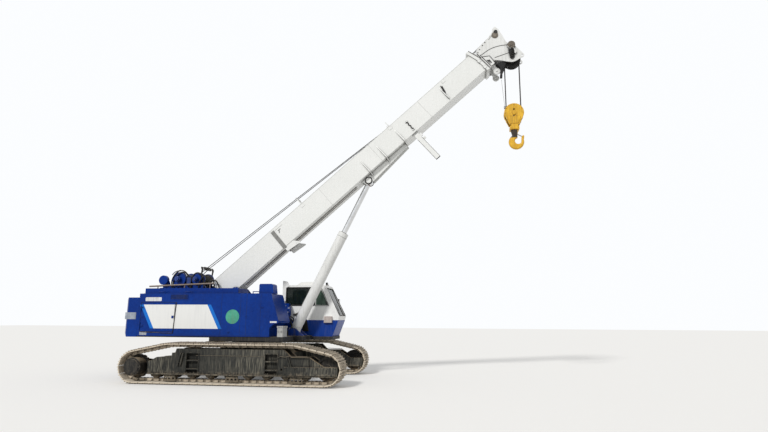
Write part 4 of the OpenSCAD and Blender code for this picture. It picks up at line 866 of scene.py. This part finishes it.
tint = blended(tree, fore_pane, (0.035, 0.055, 0.048), (0.20, 0.30, 0.24))
clear = wire(tree, "BsdfPrincipled", {
    "Base Color": blended(tree, film, tint, (0.12, 0.15, 0.125)),
    "Roughness": calc(tree, "ADD", calc(tree, "MULTIPLY", film, 0.35), 0.03),
    "Specular IOR Level": 0.15, "Transmission Weight": 0.8, "IOR": 1.33})
tree.links.new(clear.outputs[0], tree.nodes["Material Output"].inputs["Surface"])
dress(glass, "cab_glass", "door_glass")


def grown(outline, by):
    """An outline with every corner moved away from the middle."""
    cx = sum(p[0] for p in outline) / len(outline)
    cz = sum(p[1] for p in outline) / len(outline)
    return [(x + math.copysign(by, x - cx), z + math.copysign(by, z - cz)) for x, z in outline]


NEAR_PANE = [(1640, 2115), (2035, 2115), (1778, 2635), (1640, 2635)]
FAR_PANE = [(1815, 2115), (2035, 2115), (1830, 2575), (1815, 2575)]
seals = bmesh.new()
ring_plate(seals, rounded(674, 1618, 2089, 2661, 60), rounded(714, 1590, 2129, 2621, 36), 438, 452)
ring_plate(seals, grown(NEAR_PANE, 26), grown(NEAR_PANE, -14), 438, 452)
ring_plate(seals, grown(FAR_PANE, 14), grown(FAR_PANE, -5), 1399, 1408)
make("cab_window_seals", "upper", rubber, seals, round_edges=0.002)
screen_seal = bmesh.new()
corners = [(2384, 520, 1805), (2384, 1330, 1805), (1952, 1330, 2635), (1952, 520, 2635)]
for a, b in zip(corners, corners[1:] + corners[:1]):
    bar(screen_seal, a, b, 8, 8)
arm = [(2400, 900, 1792), (2330, 980, 1930), (2250, 1040, 2085)]
pipe(screen_seal, curve_through(arm, 4), 5, 6)           # the wiper's arm, and its blade
bar(screen_seal, (2298, 1000, 1975), (2178, 1075, 2215), 5, 6)
make("windscreen_seal_and_wiper", "upper", rubber, screen_seal)
door_seal = bmesh.new()
for z0, z1, gap in ((2088, 2558, 24), (1548, 1872, 26)):
    pane = rounded(822, 1564, z0 + gap, z1 - gap, 24)
    ring_plate(door_seal, rounded(794, 1592, z0, z1, 40), pane, 1434, 1441)
make("cab_door_seals", "cab_door", rubber, door_seal)
hardware = bmesh.new()
plate(hardware, rounded(1560, 1680, 1930, 1975, 12), 1438, 1446)
HANDLE_Z = 1952
bar(hardware, (1580, 1462, HANDLE_Z), (1670, 1462, HANDLE_Z), 9, 12)
for x in (1584, 1664):
    bar(hardware, (x, 1444, HANDLE_Z), (x, 1464, HANDLE_Z), 8, 10)
make("cab_door_handle", "cab_door", zinc, hardware, round_edges=0.001)

hoses = bmesh.new()                                      # black hoses that climb the cab's rear lower corner
for k in range(5):
    x = 1255 + 36 * k
    knots = [(x + 40, 424, 1334), (x, 420, 1480), (x - 30, 424, 1640), (x - 130, 424, 1770 + 12 * k),
             (x - 300, 424, 1830 + 14 * k)]
    pipe(hoses, curve_through(knots), 19, 10)
make("cab_hose_bundle", "upper", rubber, hoses)
rails = bmesh.new()                                      # handrail behind the door, and the mirror's arm
for radius, knots in (
        (13, [(690, 1420, 1400), (650, 1450, 1420), (640, 1450, 1800), (640, 1450, 2250), (690, 1420, 2280)]),
        (11, [(1900, 1395, 2300), (2060, 1460, 2330), (2120, 1480, 2300), (2120, 1480, 2080)])):
    pipe(rails, curve_through(knots, 7), radius, 10)
make("cab_handrails", "upper", blank_plate, rails)
mirror = bmesh.new()
plate(mirror, rounded(2108, 2140, 2050, 2330, 12), 1400, 1560)
LAMPS_Y = 600, 1250
for y in LAMPS_Y:
    block(mirror, 1752, 1812, y - 74, y + 4, 2776, 2846)
make("cab_mirror_and_lamp_housings", "upper", rubber, mirror, round_edges=0.004)
lamp_glass = finish("lamp_lens", (0.5, 0.5, 0.48), (0.75, 0.75, 0.72), 0.12, coat=0.6, bump=0.6, skin=90.0,
                    layers=[dust(0.4, 9.0, rough=0.9)], soft=0.002,
                    wear=(0.2, (0.7, 0.7, 0.7), 0.2, 0.0))
lenses = bmesh.new()
for y in LAMPS_Y:
    block(lenses, 1812, 1818, y - 66, y - 4, 2784, 2838)
block(lenses, 2141, 2144, 1408, 1552, 2062, 2318)
make("cab_lamp_lenses", "upper", lamp_glass, lenses, round_edges=0.002)
side_box = bmesh.new()
block(side_box, 1921, 2166, 372, 452, 1589, 1781)
box_pink = finish("side_box_paint", (0.42, 0.36, 0.34), (0.60, 0.53, 0.50), 0.5,
                  layers=[runs(0.5, 24.0, (0.2, 0.17, 0.14), 0.8)], bump=0.3)
make("cab_side_box", "upper", box_pink, side_box, round_edges=0.006)

# Operator's seat: foam cushions in a dark woven cover on a plastic pan that is bolted to the cab's
# floor. The console and levers beside it are moulded in dark grey plastic.
cloth = finish("seat_cloth", (0.018, 0.018, 0.022), (0.05, 0.05, 0.058), 0.85,
               layers=[dust(0.3, 12.0)], bump=0.9, skin=420.0, soft=0.004,
               wear=(0.25, (0.10, 0.10, 0.10), 0.9, 0.0), broad=5.0)
cloth.node_tree.nodes["Principled BSDF"].inputs["Sheen Weight"].default_value = 0.25
low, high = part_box("seat")


def cushion(name, lo, hi, lean):
    """A crowned closed pad with pulled-in sides and sewn channels, between two corners."""
    pad = bmesh.new()
    bmesh.ops.create_cube(pad, size=2.0)
    bmesh.ops.subdivide_edges(pad, edges=pad.edges, cuts=5, use_grid_fill=True)
    size, middle = [(b - a) / 2 for a, b in zip(lo, hi)], [(a + b) / 2 for a, b in zip(lo, hi)]
    for v in pad.verts:
        x, y, z = v.co
        full = (1 - abs(x) ** 3 * 0.35) * (1 - abs(y) ** 3 * 0.35)
        channel = 0.06 * (math.cos(y * 9.4) > 0.93)
        grow = Vector((x * (1 - 0.12 * z * z), y * (1 - 0.12 * z * z), z * (full - channel)))
        v.co = [m + g * s for m, g, s in zip(middle, grow, size)]
        v.co.x += (v.co.z - lo[2]) * lean
    piece = make(name, "upper", cloth, pad, Matrix.Identity(4))
    smooth = piece.modifiers.new("smooth", "SUBSURF")
    smooth.levels = smooth.render_levels = 2
    for face in piece.data.polygons:
        face.use_smooth = True
    return piece


base = cushion("seat_cushion", (low.x + 0.09, low.y + 0.01, low.z + 0.25),
               (high.x - 0.01, high.y - 0.01, low.z + 0.37), 0.0)
cushion("seat_back", (low.x + 0.03, low.y + 0.03, low.z + 0.39),
        (low.x + 0.15, high.y - 0.03, high.z - 0.01), -0.03)
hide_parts("seat")
plastic = finish("console_plastic", (0.02, 0.02, 0.022), (0.05, 0.05, 0.052), 0.55,
                 layers=[dust(0.5, 9.0)], bump=0.5, skin=380.0, soft=0.005,
                 wear=(0.3, (0.12, 0.12, 0.12), 0.5, 0.0))
dress(plastic, "console")
pan = bmesh.new()
x0, y0, z0 = (low.x - SWING_X) * 1000, low.y * 1000, low.z * 1000
block(pan, x0 + 110, x0 + 580, y0 + 30, y0 + 470, z0 + 200, z0 + 250)
block(pan, x0 + 160, x0 + 480, y0 + 90, y0 + 410, z0, z0 + 200)
block(pan, x0 + 20, x0 + 60, y0 + 60, y0 + 440, z0 + 250, z0 + 900)
make("seat_pan", "upper", plastic, pan, round_edges=0.012)

# Boom: four box sections of welded plate, one inside the other, in white gloss paint with grime
# and painted shade in the seams. Dark wear pads stand at the base's collar, black also as painted
# shade for the gap there, and a stow arm hangs under its side.
boom_white = finish(
    "boom_white", (0.68, 0.69, 0.67), (0.76, 0.765, 0.75), 0.3,
    layers=[runs(0.05, 30.0, (0.42, 0.40, 0.36), 0.65),
            dust(0.35, 2.0, (0.45, 0.40, 0.33), 0.85),
            # painted shade: the corner layer darkens seams and corners, with grime
            shade_and_grime(0.9, 0.07, (0.05, 0.045, 0.038), 0.6)],
    coat=0.2, bump=0.14, skin=200.0, soft=0.008, wear=(0.34, (0.25, 0.24, 0.22), 0.5, 0.5), broad=0.45,
    specular=0.35, on_boom=True,
    # a dark grey strap across the side at 2 m, painted dark for the strap and the shadow beside it; then a
    # thin dark line and a small dark mark
    marks=[(band(1.935, 2.045, -0.22, 0.536, beyond=0.305), (0.20, 0.20, 0.19)),
           (band(2.05, 2.36, 0.497, 0.506, beyond=0.29), (0.16, 0.16, 0.15)),
           (band(2.115, 2.155, 0.35, 0.45, -0.6, 0.29), (0.22, 0.22, 0.21)),
           (band(2.15, 2.25, 0.425, 0.455, 0.5, 0.29), (0.22, 0.22, 0.21))])
inner_white = finish(
    "inner_white", (0.64, 0.645, 0.63), (0.755, 0.76, 0.745), 0.35,
    layers=[runs(0.16, 26.0, (0.16, 0.14, 0.11), 0.5),
            dust(0.4, 4.0, (0.40, 0.35, 0.28), 0.85),
            # painted shade: the corner layer darkens seams and corners, with grime
            shade_and_grime(0.9, 0.10, (0.03, 0.028, 0.024), 0.6)],
    coat=0.2, bump=0.2, skin=200.0, wear=(0.42, (0.25, 0.24, 0.22), 0.5, 0.5))
dress(boom_white, "boom_base", "stow_arm")
stub = bmesh.new()                                       # stow arm: stub at its top; black bars on its edges are painted shade with grime
block(stub, 7262, 7352, -246, -204, -430, -350)
bar(stub, (7318, -252, -390), (7318, -198, -390), 20, 16)
make("stow_arm_stub", "boom_base", boom_white, stub, BOOM, round_edges=0.004)
edges = bmesh.new()
for u in (7116, 7264):
    bar(edges, (u, -250, -330), (u, -250, -1148), 5, 8)
block(edges, 7113, 7267, -253, -197, -1153, -1140)
make("stow_arm_shade_edges", "boom_base", rubber, edges, BOOM, round_edges=0.002)
dress(inner_white, "boom_second", "boom_third", "boom_tip", "boom_head")
END, TIP = 10180, 10255                                  # ends of the base and of the third section
SIDE, BACK, BELLY = 309, 596, -86                        # the base's faces, from its foot pin's line

welds = bmesh.new()
for s in (-1, 1):
    for v in (BELLY, BACK):                              # long corner welds
        pipe(welds, [(-300 + 40 * k, s * SIDE, v + 1.5 * math.sin(k * 2.1)) for k in range(258)], 7, 6)
    for u in (3900, 5900, 7900):                         # butt welds across the sides
        pipe(welds, [(u, s * 310, -70 + 26 * k) for k in range(26)], 5, 6)
make("boom_welds", "boom_base", boom_white, welds, BOOM)

pads = bmesh.new()
PAD_U = END - 75
for s in (-1, 1):                                        # adjusting plates of the wear pads
    for v in (-20, 240):
        plate_on(pads, s, rounded(PAD_U - 45, PAD_U + 45, v - 50, v + 50, 10), 339, 347)
        for du, dv in ((-28, -34), (28, -34), (-28, 34), (28, 34)):
            bolt(pads, (PAD_U + du, s * 347, v + dv), (0, s, 0), 8, 8)
    for u in (3196, 6746, 8900):                         # and cover plates along the side
        plate_on(pads, s, rounded(u - 60, u + 60, 480, 560, 12), SIDE, SIDE + 7)
make("boom_pad_plates", "boom_base", boom_white, pads, BOOM, round_edges=0.002)
# black wear pads in the gap at the base's end, black also as painted shade for that gap
pads = bmesh.new()
for s in (-1, 1):
    block(pads, END + 1, END + 11, s * 286 - 14, s * 286 + 14, -40, 280)
make("boom_wear_pads_and_gap_shade", "boom_base", rubber, pads, BOOM)

fixings = bmesh.new()                                    # strap, hose clips and brackets on the near side
for u in (2341, 2452):
    bolt(fixings, (u, -300, -230), (0, -1, 0), 12, 10)
for u in (1960, 2020):
    for v in (-60, 120, 300, 470):
        bolt(fixings, (u, -324, v), (0, -1, 0), 9, 7)
plate(fixings, [(7180, -20), (7270, -20), (7262, 20), (7190, 20)], -330, -SIDE)
plate(fixings, [(7180, 312), (7270, 312), (7262, 350), (7190, 350)], -330, -SIDE)
make("boom_fixings", "boom_base", boom_white, fixings, BOOM)
strips = bmesh.new()                                     # coiled black line, and black strips by the last fin: its painted shadow
pipe(strips, [(7228 + 16 * math.sin(k * 0.9), -324, -3 + 17 * k) for k in range(21)], 13, 8)
plate(strips, [(8640, 0), (8668, 0), (8744, 480), (8728, 480)], -322, -SIDE)
plate(strips, [(8655, 200), (8720, 210), (8775, 430), (8735, 440)], -326, -SIDE)
make("boom_side_lines_and_fin_shadow", "boom_base", rubber, strips, BOOM, round_edges=0.002)
fins = bmesh.new()
for s in (-1, 1):
    fin = [(SIDE, 470), (372, 30), (372, -20), (SIDE, -20)]
    near, far = ([fins.verts.new((u, s * y, v)) for y, v in fin] for u in (8650, 8670))
    fins.faces.new(near)
    fins.faces.new(far[::-1])
    for k in range(4):
        fins.faces.new((near[k], far[k], far[(k + 1) % 4], near[(k + 1) % 4]))
make("boom_last_fins", "boom_base", boom_white, fins, BOOM)
feed = bmesh.new()                                       # pressure hoses under the base section
for y, v in ((-90, -110), (-60, -112), (70, -110)):
    path = ((300, 18), (1200, 12), (2303, 6), (3344, 10), (4400, 14), (4800, 16))
    pipe(feed, curve_through([(u, y, v + rise) for u, rise in path], 20), 9, 8)
hose_grey = finish("hose_grey", (0.17, 0.16, 0.15), (0.30, 0.285, 0.26), 0.6, bump=0.3, specular=0.2)
make("boom_hoses", "boom_base", hose_grey, feed, BOOM)

for body, name, lines in (                               # black bars round the collars' edges: painted shade of the gaps, with grime
        ("boom_base", "base_collar_shade_line", [(341, [(10091, 702), (10182, 312), (10182, -133)])]),
        ("boom_third", "third_collar_shade_line", [
            (327, [(10190, 304), (10258, 304), (10258, -126)]),
            (323, [(10258, 290), (10447, 152), (10422, -137), (10258, -141)])])):
    shade_line = bmesh.new()
    for s in (-1, 1):
        for y, path in lines:
            for (u0, v0), (u1, v1) in zip(path, path[1:]):
                bar(shade_line, (u0, s * y, v0), (u1, s * y, v1), 9, 6)
    make(name, body, rubber, shade_line, BOOM)

# Hoist ropes: two runs of wire rope, from the winches through a fairlead, over two forks on the
# boom's back and on to the nose. Each section carries its own stretch, and so they follow it.
ROPE_V, FAIR = 724, (-330, 1130)                         # the ropes' height on the boom, and the fairlead
posts, rollers = bmesh.new(), bmesh.new()
LOW_FORK, HIGH_FORK = 3180, 6780                         # where the forks stand along the boom
for u, top, v in ((LOW_FORK, 890, 902), (HIGH_FORK, 850, 693)):
    for y in (-110, 250):
        block(posts, u - 14, u + 14, y - 10, y + 10, BACK, top)
        block(posts, u - 42, u + 42, y - 32, y + 32, BACK, BACK + 12)
        for du in (-30, 30):
            bolt(posts, (u + du, y, BACK + 12), (0, 0, 1), 8, 8)
    bar(rollers, (u, -122, v), (u, 262, v), 16, 18)
    for y in (-122, 262):
        bar(rollers, (u, y - 5, v), (u, y + 5, v), 24, 6)
make("boom_rope_forks", "boom_base", boom_white, posts, BOOM, round_edges=0.002)
make("boom_rope_rollers", "boom_base", zinc, rollers, BOOM)


def on_line(y, v, u0, u1):
    """Points of a straight run along the boom."""
    count = int((u1 - u0) / 16)
    return [(u0 + (u1 - u0) * k / count, y, v) for k in range(count + 1)]


def arc(u, y, v, radius, first, last):
    """Points round a sheave, angles in degrees from the boom's line towards its back."""
    count = max(3, int(abs(last - first) / 4))
    turns = [math.radians(first + (last - first) * k / count) for k in range(count + 1)]
    return [(u + radius * math.cos(a), y, v + radius * math.sin(a)) for a in turns]


def rope(shape, points, radius, sides=12):
    """Six-strand wire rope, with a turn of its strands in 95 mm."""
    pipe(shape, points, radius, sides, lay=95.0)


iron = finish("sheave_iron", (0.014, 0.014, 0.014), (0.04, 0.038, 0.035), 0.42,
              layers=[dust(0.4, 12.0, rough=0.92)],
              metal=0.4, bump=0.6, skin=110.0, wear=(0.5, (0.28, 0.27, 0.26), 0.35, 0.9), broad=2.0)
HEAD, NOSE = (TIP + 675, -320), (TIP + 885, 630)
MAIN_Y, AUX_Y = 110, 170                                 # where the two ropes run across the boom
for number, (body, start, end) in enumerate((
        ("boom_base", HIGH_FORK, END + 20), ("boom_second", 3780, END + 42), ("boom_third", 3800, END + 66))):
    run = bmesh.new()
    for y in (MAIN_Y, AUX_Y):
        rope(run, on_line(y, ROPE_V, start, end), 11 - number * 0.25)
    make(f"rope_run_{number + 1}", body, rope_steel, run, BOOM)
run = bmesh.new()
rope(run, on_line(MAIN_Y, ROPE_V, 3820, TIP + 90)        # to the nose, round it and down to the head
     + [(TIP + 90 + 795 * k / 50, MAIN_Y - MAIN_Y * k / 50, ROPE_V + 12 * k / 50) for k in range(1, 50)]
     + arc(NOSE[0], 0, NOSE[1], 106, 90, -4)
     + [(11244 - 99 * k / 40, 60 * k / 40, 612 - 950 * k / 40) for k in range(41)]
     + arc(HEAD[0], 60, HEAD[1], 216, -8, -40), 10.3)
rope(run, on_line(AUX_Y, ROPE_V, 3820, TIP + 420), 10.3)
bar(run, (TIP + 400, AUX_Y, ROPE_V), (TIP + 520, AUX_Y, ROPE_V), 20, 12)
make("rope_over_nose", "boom_tip", rope_steel, run, BOOM)
for name, u, v, y, end_y in (("rope_from_main_winch", -1068.5, 1157, -90, MAIN_Y),
                             ("rope_from_aux_winch", -651, 1111.5, 60, AUX_Y)):
    start, end = BOOM @ Vector((FAIR[0], y, FAIR[1])), BOOM @ Vector((HIGH_FORK, end_y, ROPE_V))
    run = bmesh.new()                                    # off the drum and through the fairlead
    rope(run, [Vector((u, y, v)).lerp((FAIR[0], y, FAIR[1]), k / 40) for k in range(41)], 11)
    make(f"{name}_off_drum", "upper", rope_steel, run, BOOM)
    run = bmesh.new()
    rope(run, [start.lerp(end, k / 320) * 1000 for k in range(321)], 11)
    shape = make(name, "upper", rope_steel, run, Matrix.Scale(0.001, 4))
    shape.parent = None
    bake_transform(shape)
fairlead = bmesh.new()                                   # two rollers between side arms on the carrier
for s in (-1, 1):
    plate_on(fairlead, s, [(-1760, 2880), (-1700, 2880), (-1692, 3040), (-1668, 3160), (-1668, 3184),
                           (-1716, 3242), (-1746, 3238), (-1748, 3200), (-1728, 3150)], 346, 354)
for x, z in ((-1685.6, 3169.5), (-1731.7, 3222.1)):
    bar(fairlead, (x, -364, z), (x, 364, z), 14, 16)
    bar(fairlead, (x, -150, z), (x, 150, z), 24, 24)
    for y in (-150, -20, 130):
        bar(fairlead, (x, y, z), (x, y + 12, z), 33, 24)
make("rope_fairlead", "upper", iron, fairlead, round_edges=0.002)

# Boom head: two thick plates with the sheaves between them on greased pins. Keeper plates hold the
# pins, and the hoist limit switch and a cable reel sit on the near plate.
dress(iron, "head_sheaves", "nose_sheave", "block_sheaves")
head = bmesh.new()
for s in (-1, 1):
    for (u, v), r in ((HEAD, 44), (NOSE, 30)):
        bar(head, (u, s * 268, v), (u, s * 276, v), r + 26, 28)
        bolts_round(head, u, s * 276, v, r + 14, 4, 8, 8, first=math.radians(45))
    for u, v in ((40, 500), (40, 380), (40, 240), (40, 100), (150, 540), (150, 30), (300, 580), (420, 600)):
        bolt(head, (TIP + u, s * 248, v), (0, s, 0), 13, 11)
make("head_pin_keepers", "boom_tip", iron, head, BOOM, round_edges=0.0015)
shade_plates = bmesh.new()                                      # black plates at the head's sheaves: painted shade under the head, with grease
plate(shade_plates, [(10541, 36), (10966, -152), (10966, -170), (10541, 14)], -252, -247)
plate(shade_plates, [(TIP + u, v) for u, v in ((200, -135), (385, -215), (420, -330), (250, -395), (205, -300))],
      -210, 210)
make("head_sheave_shade_plates", "boom_tip", rubber, shade_plates, BOOM, round_edges=0.003)
switch = bmesh.new()                                     # limit switch and its arm, guard and cable
block(switch, 7350, 7412, -262, -212, 8960, 9236)
bar(switch, (7376, -237, 8965), (7366, -237, 8852), 38, 14)
plate(switch, [(7650, 9740), (7690, 9829), (7745, 9800), (7791, 9700), (7788, 9560), (7750, 9462),
               (7700, 9458), (7652, 9530)], -300, -246)
for k in range(5):
    bar(switch, (7668 + 9 * k, -312, 9500 + 60 * k), (7770, -312, 9540 + 55 * k), 13, 8)
cable = [(7655, -290, 9560), (7620, -300, 9700), (7650, -296, 9830), (7720, -290, 9860)]
pipe(switch, curve_through(cable, 7), 12, 8)
make("head_limit_switch", "boom_tip", rubber, switch, round_edges=0.004)
REEL_X, REEL_Z = 7706, 9905
reel = bmesh.new()
for y0, y1, r in ((-262, -252, 118), (-300, -262, 84), (-310, -300, 112), (-322, -310, 46)):
    bar(reel, (REEL_X, y0, REEL_Z), (REEL_X, y1, REEL_Z), r, 32)
bolts_round(reel, REEL_X, -310, REEL_Z, 80, 6, 8, 7)
reel_brown = finish("reel_brown", (0.10, 0.085, 0.07), (0.25, 0.22, 0.18), 0.7,
                    layers=[dust(0.8, 12.0),
                            runs(0.5, 60.0, (0.03, 0.025, 0.02), 0.6)], bump=0.6)
make("head_cable_reel", "boom_tip", reel_brown, reel, round_edges=0.002)
pulley = bmesh.new()
for y0, y1, r in ((-264, -246, 100), (-272, -264, 70)):  # over the end of the nose sheave's pin
    bar(pulley, (7228, y0, 10268), (7228, y1, 10268), r, 40)
make("nose_sheave_cover", "boom_tip", reel_brown, pulley, round_edges=0.003)
trim = bmesh.new()
ROLLER = TIP + 30, -345
for s in (-1, 1):                                        # rollers' rims and stiffeners of the head
    pipe(trim, [(u, s * 256, v) for u, v in circle(*ROLLER, 92, 40, closed=True)], 9, 8)
    plate_on(trim, s, [(TIP + 560, 610), (TIP + 800, 672), (TIP + 800, 650), (TIP + 560, 588)], 248, 262)
    bolt(trim, (ROLLER[0], s * 266, ROLLER[1]), (0, s, 0), 16, 10)
bar(trim, (TIP + 960, -215, 700), (TIP + 960, 215, 700), 24, 20)
make("head_trim", "boom_tip", inner_white, trim, BOOM, round_edges=0.0015)
cable = bmesh.new()                                      # switch cable clipped along the head's side
knots = [(TIP + 850, -258, 60), (TIP + 640, -256, 215), (TIP + 380, -256, 330), (TIP + 60, -256, 372)]
pipe(cable, curve_through(knots, 8), 5, 8)
make("head_cable", "boom_tip", rubber, cable, BOOM)

# Lift cylinder: white steel barrel with its gland, and a hard-chromed rod pinned to the boom's
# lugs. Hoses come to its foot from the deck and from a blue valve block behind it.
rod_chrome = finish("rod_chrome", (0.60, 0.61, 0.62), (0.74, 0.75, 0.76), 0.10, metal=1.0,
                    layers=[runs(0.15, 60.0, (0.2, 0.18, 0.15), 0.5)],
                    bump=0.04, skin=300.0, soft=0.004, wear=(0.2, (0.5, 0.5, 0.5), 0.2, 1.0), broad=2.0)
dress(rod_chrome, "lift_rod")
# The barrel takes the inner sections' duller white: painted shade that tones down the sun full on it.
dress(inner_white, "lift_barrel")
LIFT_TILT = math.radians(63.84662)                       # its lean at rest
GLAND, EYE = 3240, 4991                                  # from its foot pin to the gland and to the rod's pin
LIFT = MACHINE @ Matrix.Translation((1140, 0, 1340)) @ Matrix.Rotation(-LIFT_TILT, 4, "Y")
barrel = bmesh.new()
for y, z in circle(0, 0, 118, 12):
    bolt(barrel, (GLAND, y, z), (1, 0, 0), 10, 9)
for x in (170, 3112):                                    # welds round the barrel's ends
    pipe(barrel, [(x, y, z) for y, z in circle(0, 0, 153, 48, closed=True)], 6, 8)
for s in (-1, 1):
    bar(barrel, (0, s * 150, 0), (0, s * 156, 0), 92, 28)
make("barrel_gland_bolts", "lift_barrel", boom_white, barrel, LIFT)
scraper = bmesh.new()                                    # rubber ring that wipes the rod
bar(scraper, (GLAND - 2, 0, 0), (GLAND + 16, 0, 0), 104, 40, 92)
make("barrel_wiper_ring", "lift_barrel", rubber, scraper, LIFT, round_edges=0.003)
eye = bmesh.new()
for s in (-1, 1):
    pipe(eye, [(x, s * 98, z) for x, z in circle(EYE, 0, 84, 36, closed=True)], 10, 8)
bar(eye, (EYE - 123, 0, 0), (EYE - 103, 0, 0), 92, 32)
caps, collars = bmesh.new(), bmesh.new()                 # of the pin that joins the rod to the boom
for s in (-1, 1):
    bar(caps, (EYE, s * 146, 0), (EYE, s * 178, 0), 84, 32)
    bar(collars, (EYE, s * 145.5, 0), (EYE, s * 158, 0), 114, 36)
    bolts_round(caps, EYE, s * 178, 0, 60, 4, 9, 8, first=math.radians(20))
make("head_pin_caps", "boom_base", boom_white, caps, LIFT, round_edges=0.003)
make("head_pin_collars", "boom_base", rubber, collars, LIFT, round_edges=0.002)
red_seal = finish("red_seal", (0.11, 0.02, 0.014), (0.20, 0.045, 0.03), 0.5,
                  layers=[dust(0.5, 12.0)], bump=0.4)
make("rod_eye_seals", "lift_rod", red_seal, eye, LIFT)
lines = bmesh.new()
for k, (y, z) in enumerate(((190, 1500), (215, 1560), (240, 1460), (-185, 1480), (-205, 1540))):
    s = 1 if y > 0 else -1
    knots = [(700 + 30 * k, y + 60 * s, 1250), (760 + 30 * k, y + 50 * s, z),
             (930, y + 20 * s, z + 180 + 20 * k), (1060 + 10 * k, y, z + 60), (1110, y, 1300)]
    pipe(lines, curve_through(knots, 8), 15, 8)
make("cylinder_foot_hoses", "upper", rubber, lines)
valves = bmesh.new()                                     # valve block behind the cylinder's foot
block(valves, 650, 900, 200, 372, 1880, 2060)
block(valves, 700, 860, 215, 372, 2060, 2160)
block(valves, 640, 900, 220, 360, 1215, 1880)
for k in range(5):
    bar(valves, (672 + 48 * k, 200, 1960), (672 + 48 * k, 168, 1960), 15, 8)
    bar(valves, (672 + 48 * k, 290, 2050), (672 + 48 * k, 290, 2110 + 12 * (k % 2)), 13, 8)
make("valve_block", "upper", plain_blue, valves, round_edges=0.006)
tags = bmesh.new()
for x, z in ((690, 1990), (760, 2090), (835, 1900), (870, 2020)):
    plate(tags, rounded(x - 26, x + 26, z - 11, z + 11, 4), 196, 199)
make("valve_tags", "upper", blank_plate, tags)

# Hook block: two thick yellow cheeks with the sheaves between them, a crosshead, and four falls of
# rope that pass over the head sheaves and under the block's.
block_yellow = finish(
    "block_yellow", (0.56, 0.30, 0.012), (0.80, 0.47, 0.03), 0.4,
    layers=[runs(0.45, 40.0, (0.09, 0.06, 0.03), 0.5),
            dust(0.5, 9.0, (0.40, 0.31, 0.18), 0.9)],
    # The hook's neck, just under the crosshead, is painted dark brown.
    marks=[(band(5.20, 5.475, 7.03, 7.262), (0.035, 0.026, 0.018))],
    coat=0.15, bump=0.4, skin=140.0, wear=(0.47, (0.16, 0.12, 0.09), 0.55, 0.5), broad=5.0)
dress(block_yellow, "hook_block", "hook", "hoist_falls")
BLOCK_X, BLOCK_Z, HEAD_Z = 7718.7, 7780, 9521.7          # axles of the block's and the head's sheaves
SHEAVE = 216.3                                           # the rope's radius on them
BLOCK = MACHINE @ Matrix.Translation((BLOCK_X, 0, BLOCK_Z))
falls = bmesh.new()
drop = HEAD_Z - BLOCK_Z
for y in (-60, 60):
    loop = [(SHEAVE, y, drop * k / 140) for k in range(141)]
    loop += [(x, y, z) for x, z in circle(0, drop, SHEAVE, 90)[1:45]]
    loop += [(-SHEAVE, y, drop * (1 - k / 140)) for k in range(141)]
    loop += [(x, y, z) for x, z in circle(0, 0, SHEAVE, 90)[46:]]
    rope(falls, loop, 11, 16)
wires = make("hoist_rope_falls", "hook_block", rope_steel, falls, BLOCK)
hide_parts("hoist_falls")
cheeks = bmesh.new()
CHEEK = 126                                              # from the block's middle to a cheek's outer face
for s in (-1, 1):
    bar(cheeks, (0, s * 144, 0), (0, s * 152, 0), 62, 6)
    for x, z in ((-215, 150), (215, 150), (-262, 10), (262, 10), (0, 262), (-205, -210), (205, -210),
                 (-90, -92), (90, -92), (0, -237)):
        bolt(cheeks, (x, s * CHEEK, z), (0, s, 0), 13, 13)
    for x in (-110, 110):
        bolt(cheeks, (x, s * 136, -460), (0, s, 0), 12, 10)
for x, z in ((-215, 150), (215, 150), (-205, -210), (205, -210)):
    bar(cheeks, (x, -CHEEK, z), (x, CHEEK, z), 9, 12)
make("block_bolts", "hook_block", block_yellow, cheeks, BLOCK, round_edges=0.0012)
holes = bmesh.new()
for s in (-1, 1):
    plate_on(holes, s, circle(-10, -92, 22, 20), CHEEK, CHEEK + 2.5)
make("block_grease_holes", "hook_block", rubber, holes, BLOCK)
cord = bmesh.new()                                       # thin line from the limit switch to the block
pipe(cord, [(-340 + 74 * t, -200 + 90 * t + 6 * math.sin(t * math.pi), drop - 700 - (drop - 910) * t)
            for t in (k / 24 for k in range(25))], 5, 6)
bar(cord, (-266, -110, 215), (-262, -110, 140), 26, 16)
make("limit_switch_line", "hook_block", zinc, cord, BLOCK)

# Hook: forged steel in worn yellow, with its sides rounded over, hung from the block's crosshead.
# A sprung zinc-plated latch lies across its throat.
hook_shape = bmesh.new()
hook_shape.from_mesh(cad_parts["hook"].data)
hook = make("forged_hook", "hook", block_yellow, hook_shape, Matrix.Identity(4))
mesher = hook.modifiers.new("forge", "REMESH")
mesher.mode, mesher.voxel_size, mesher.use_smooth_shade = "VOXEL", 0.008, True
flow = hook.modifiers.new("flow", "SMOOTH")
flow.factor, flow.iterations = 0.5, 9
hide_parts("hook")
latch = bmesh.new()
plate(latch, [(40, -622), (56, -612), (250, -722), (246, -740), (56, -636)], -22, 22)
bar(latch, (46, -40, -626), (46, 40, -626), 12, 12)
make("hook_latch", "hook", zinc, latch, BLOCK, round_edges=0.003)
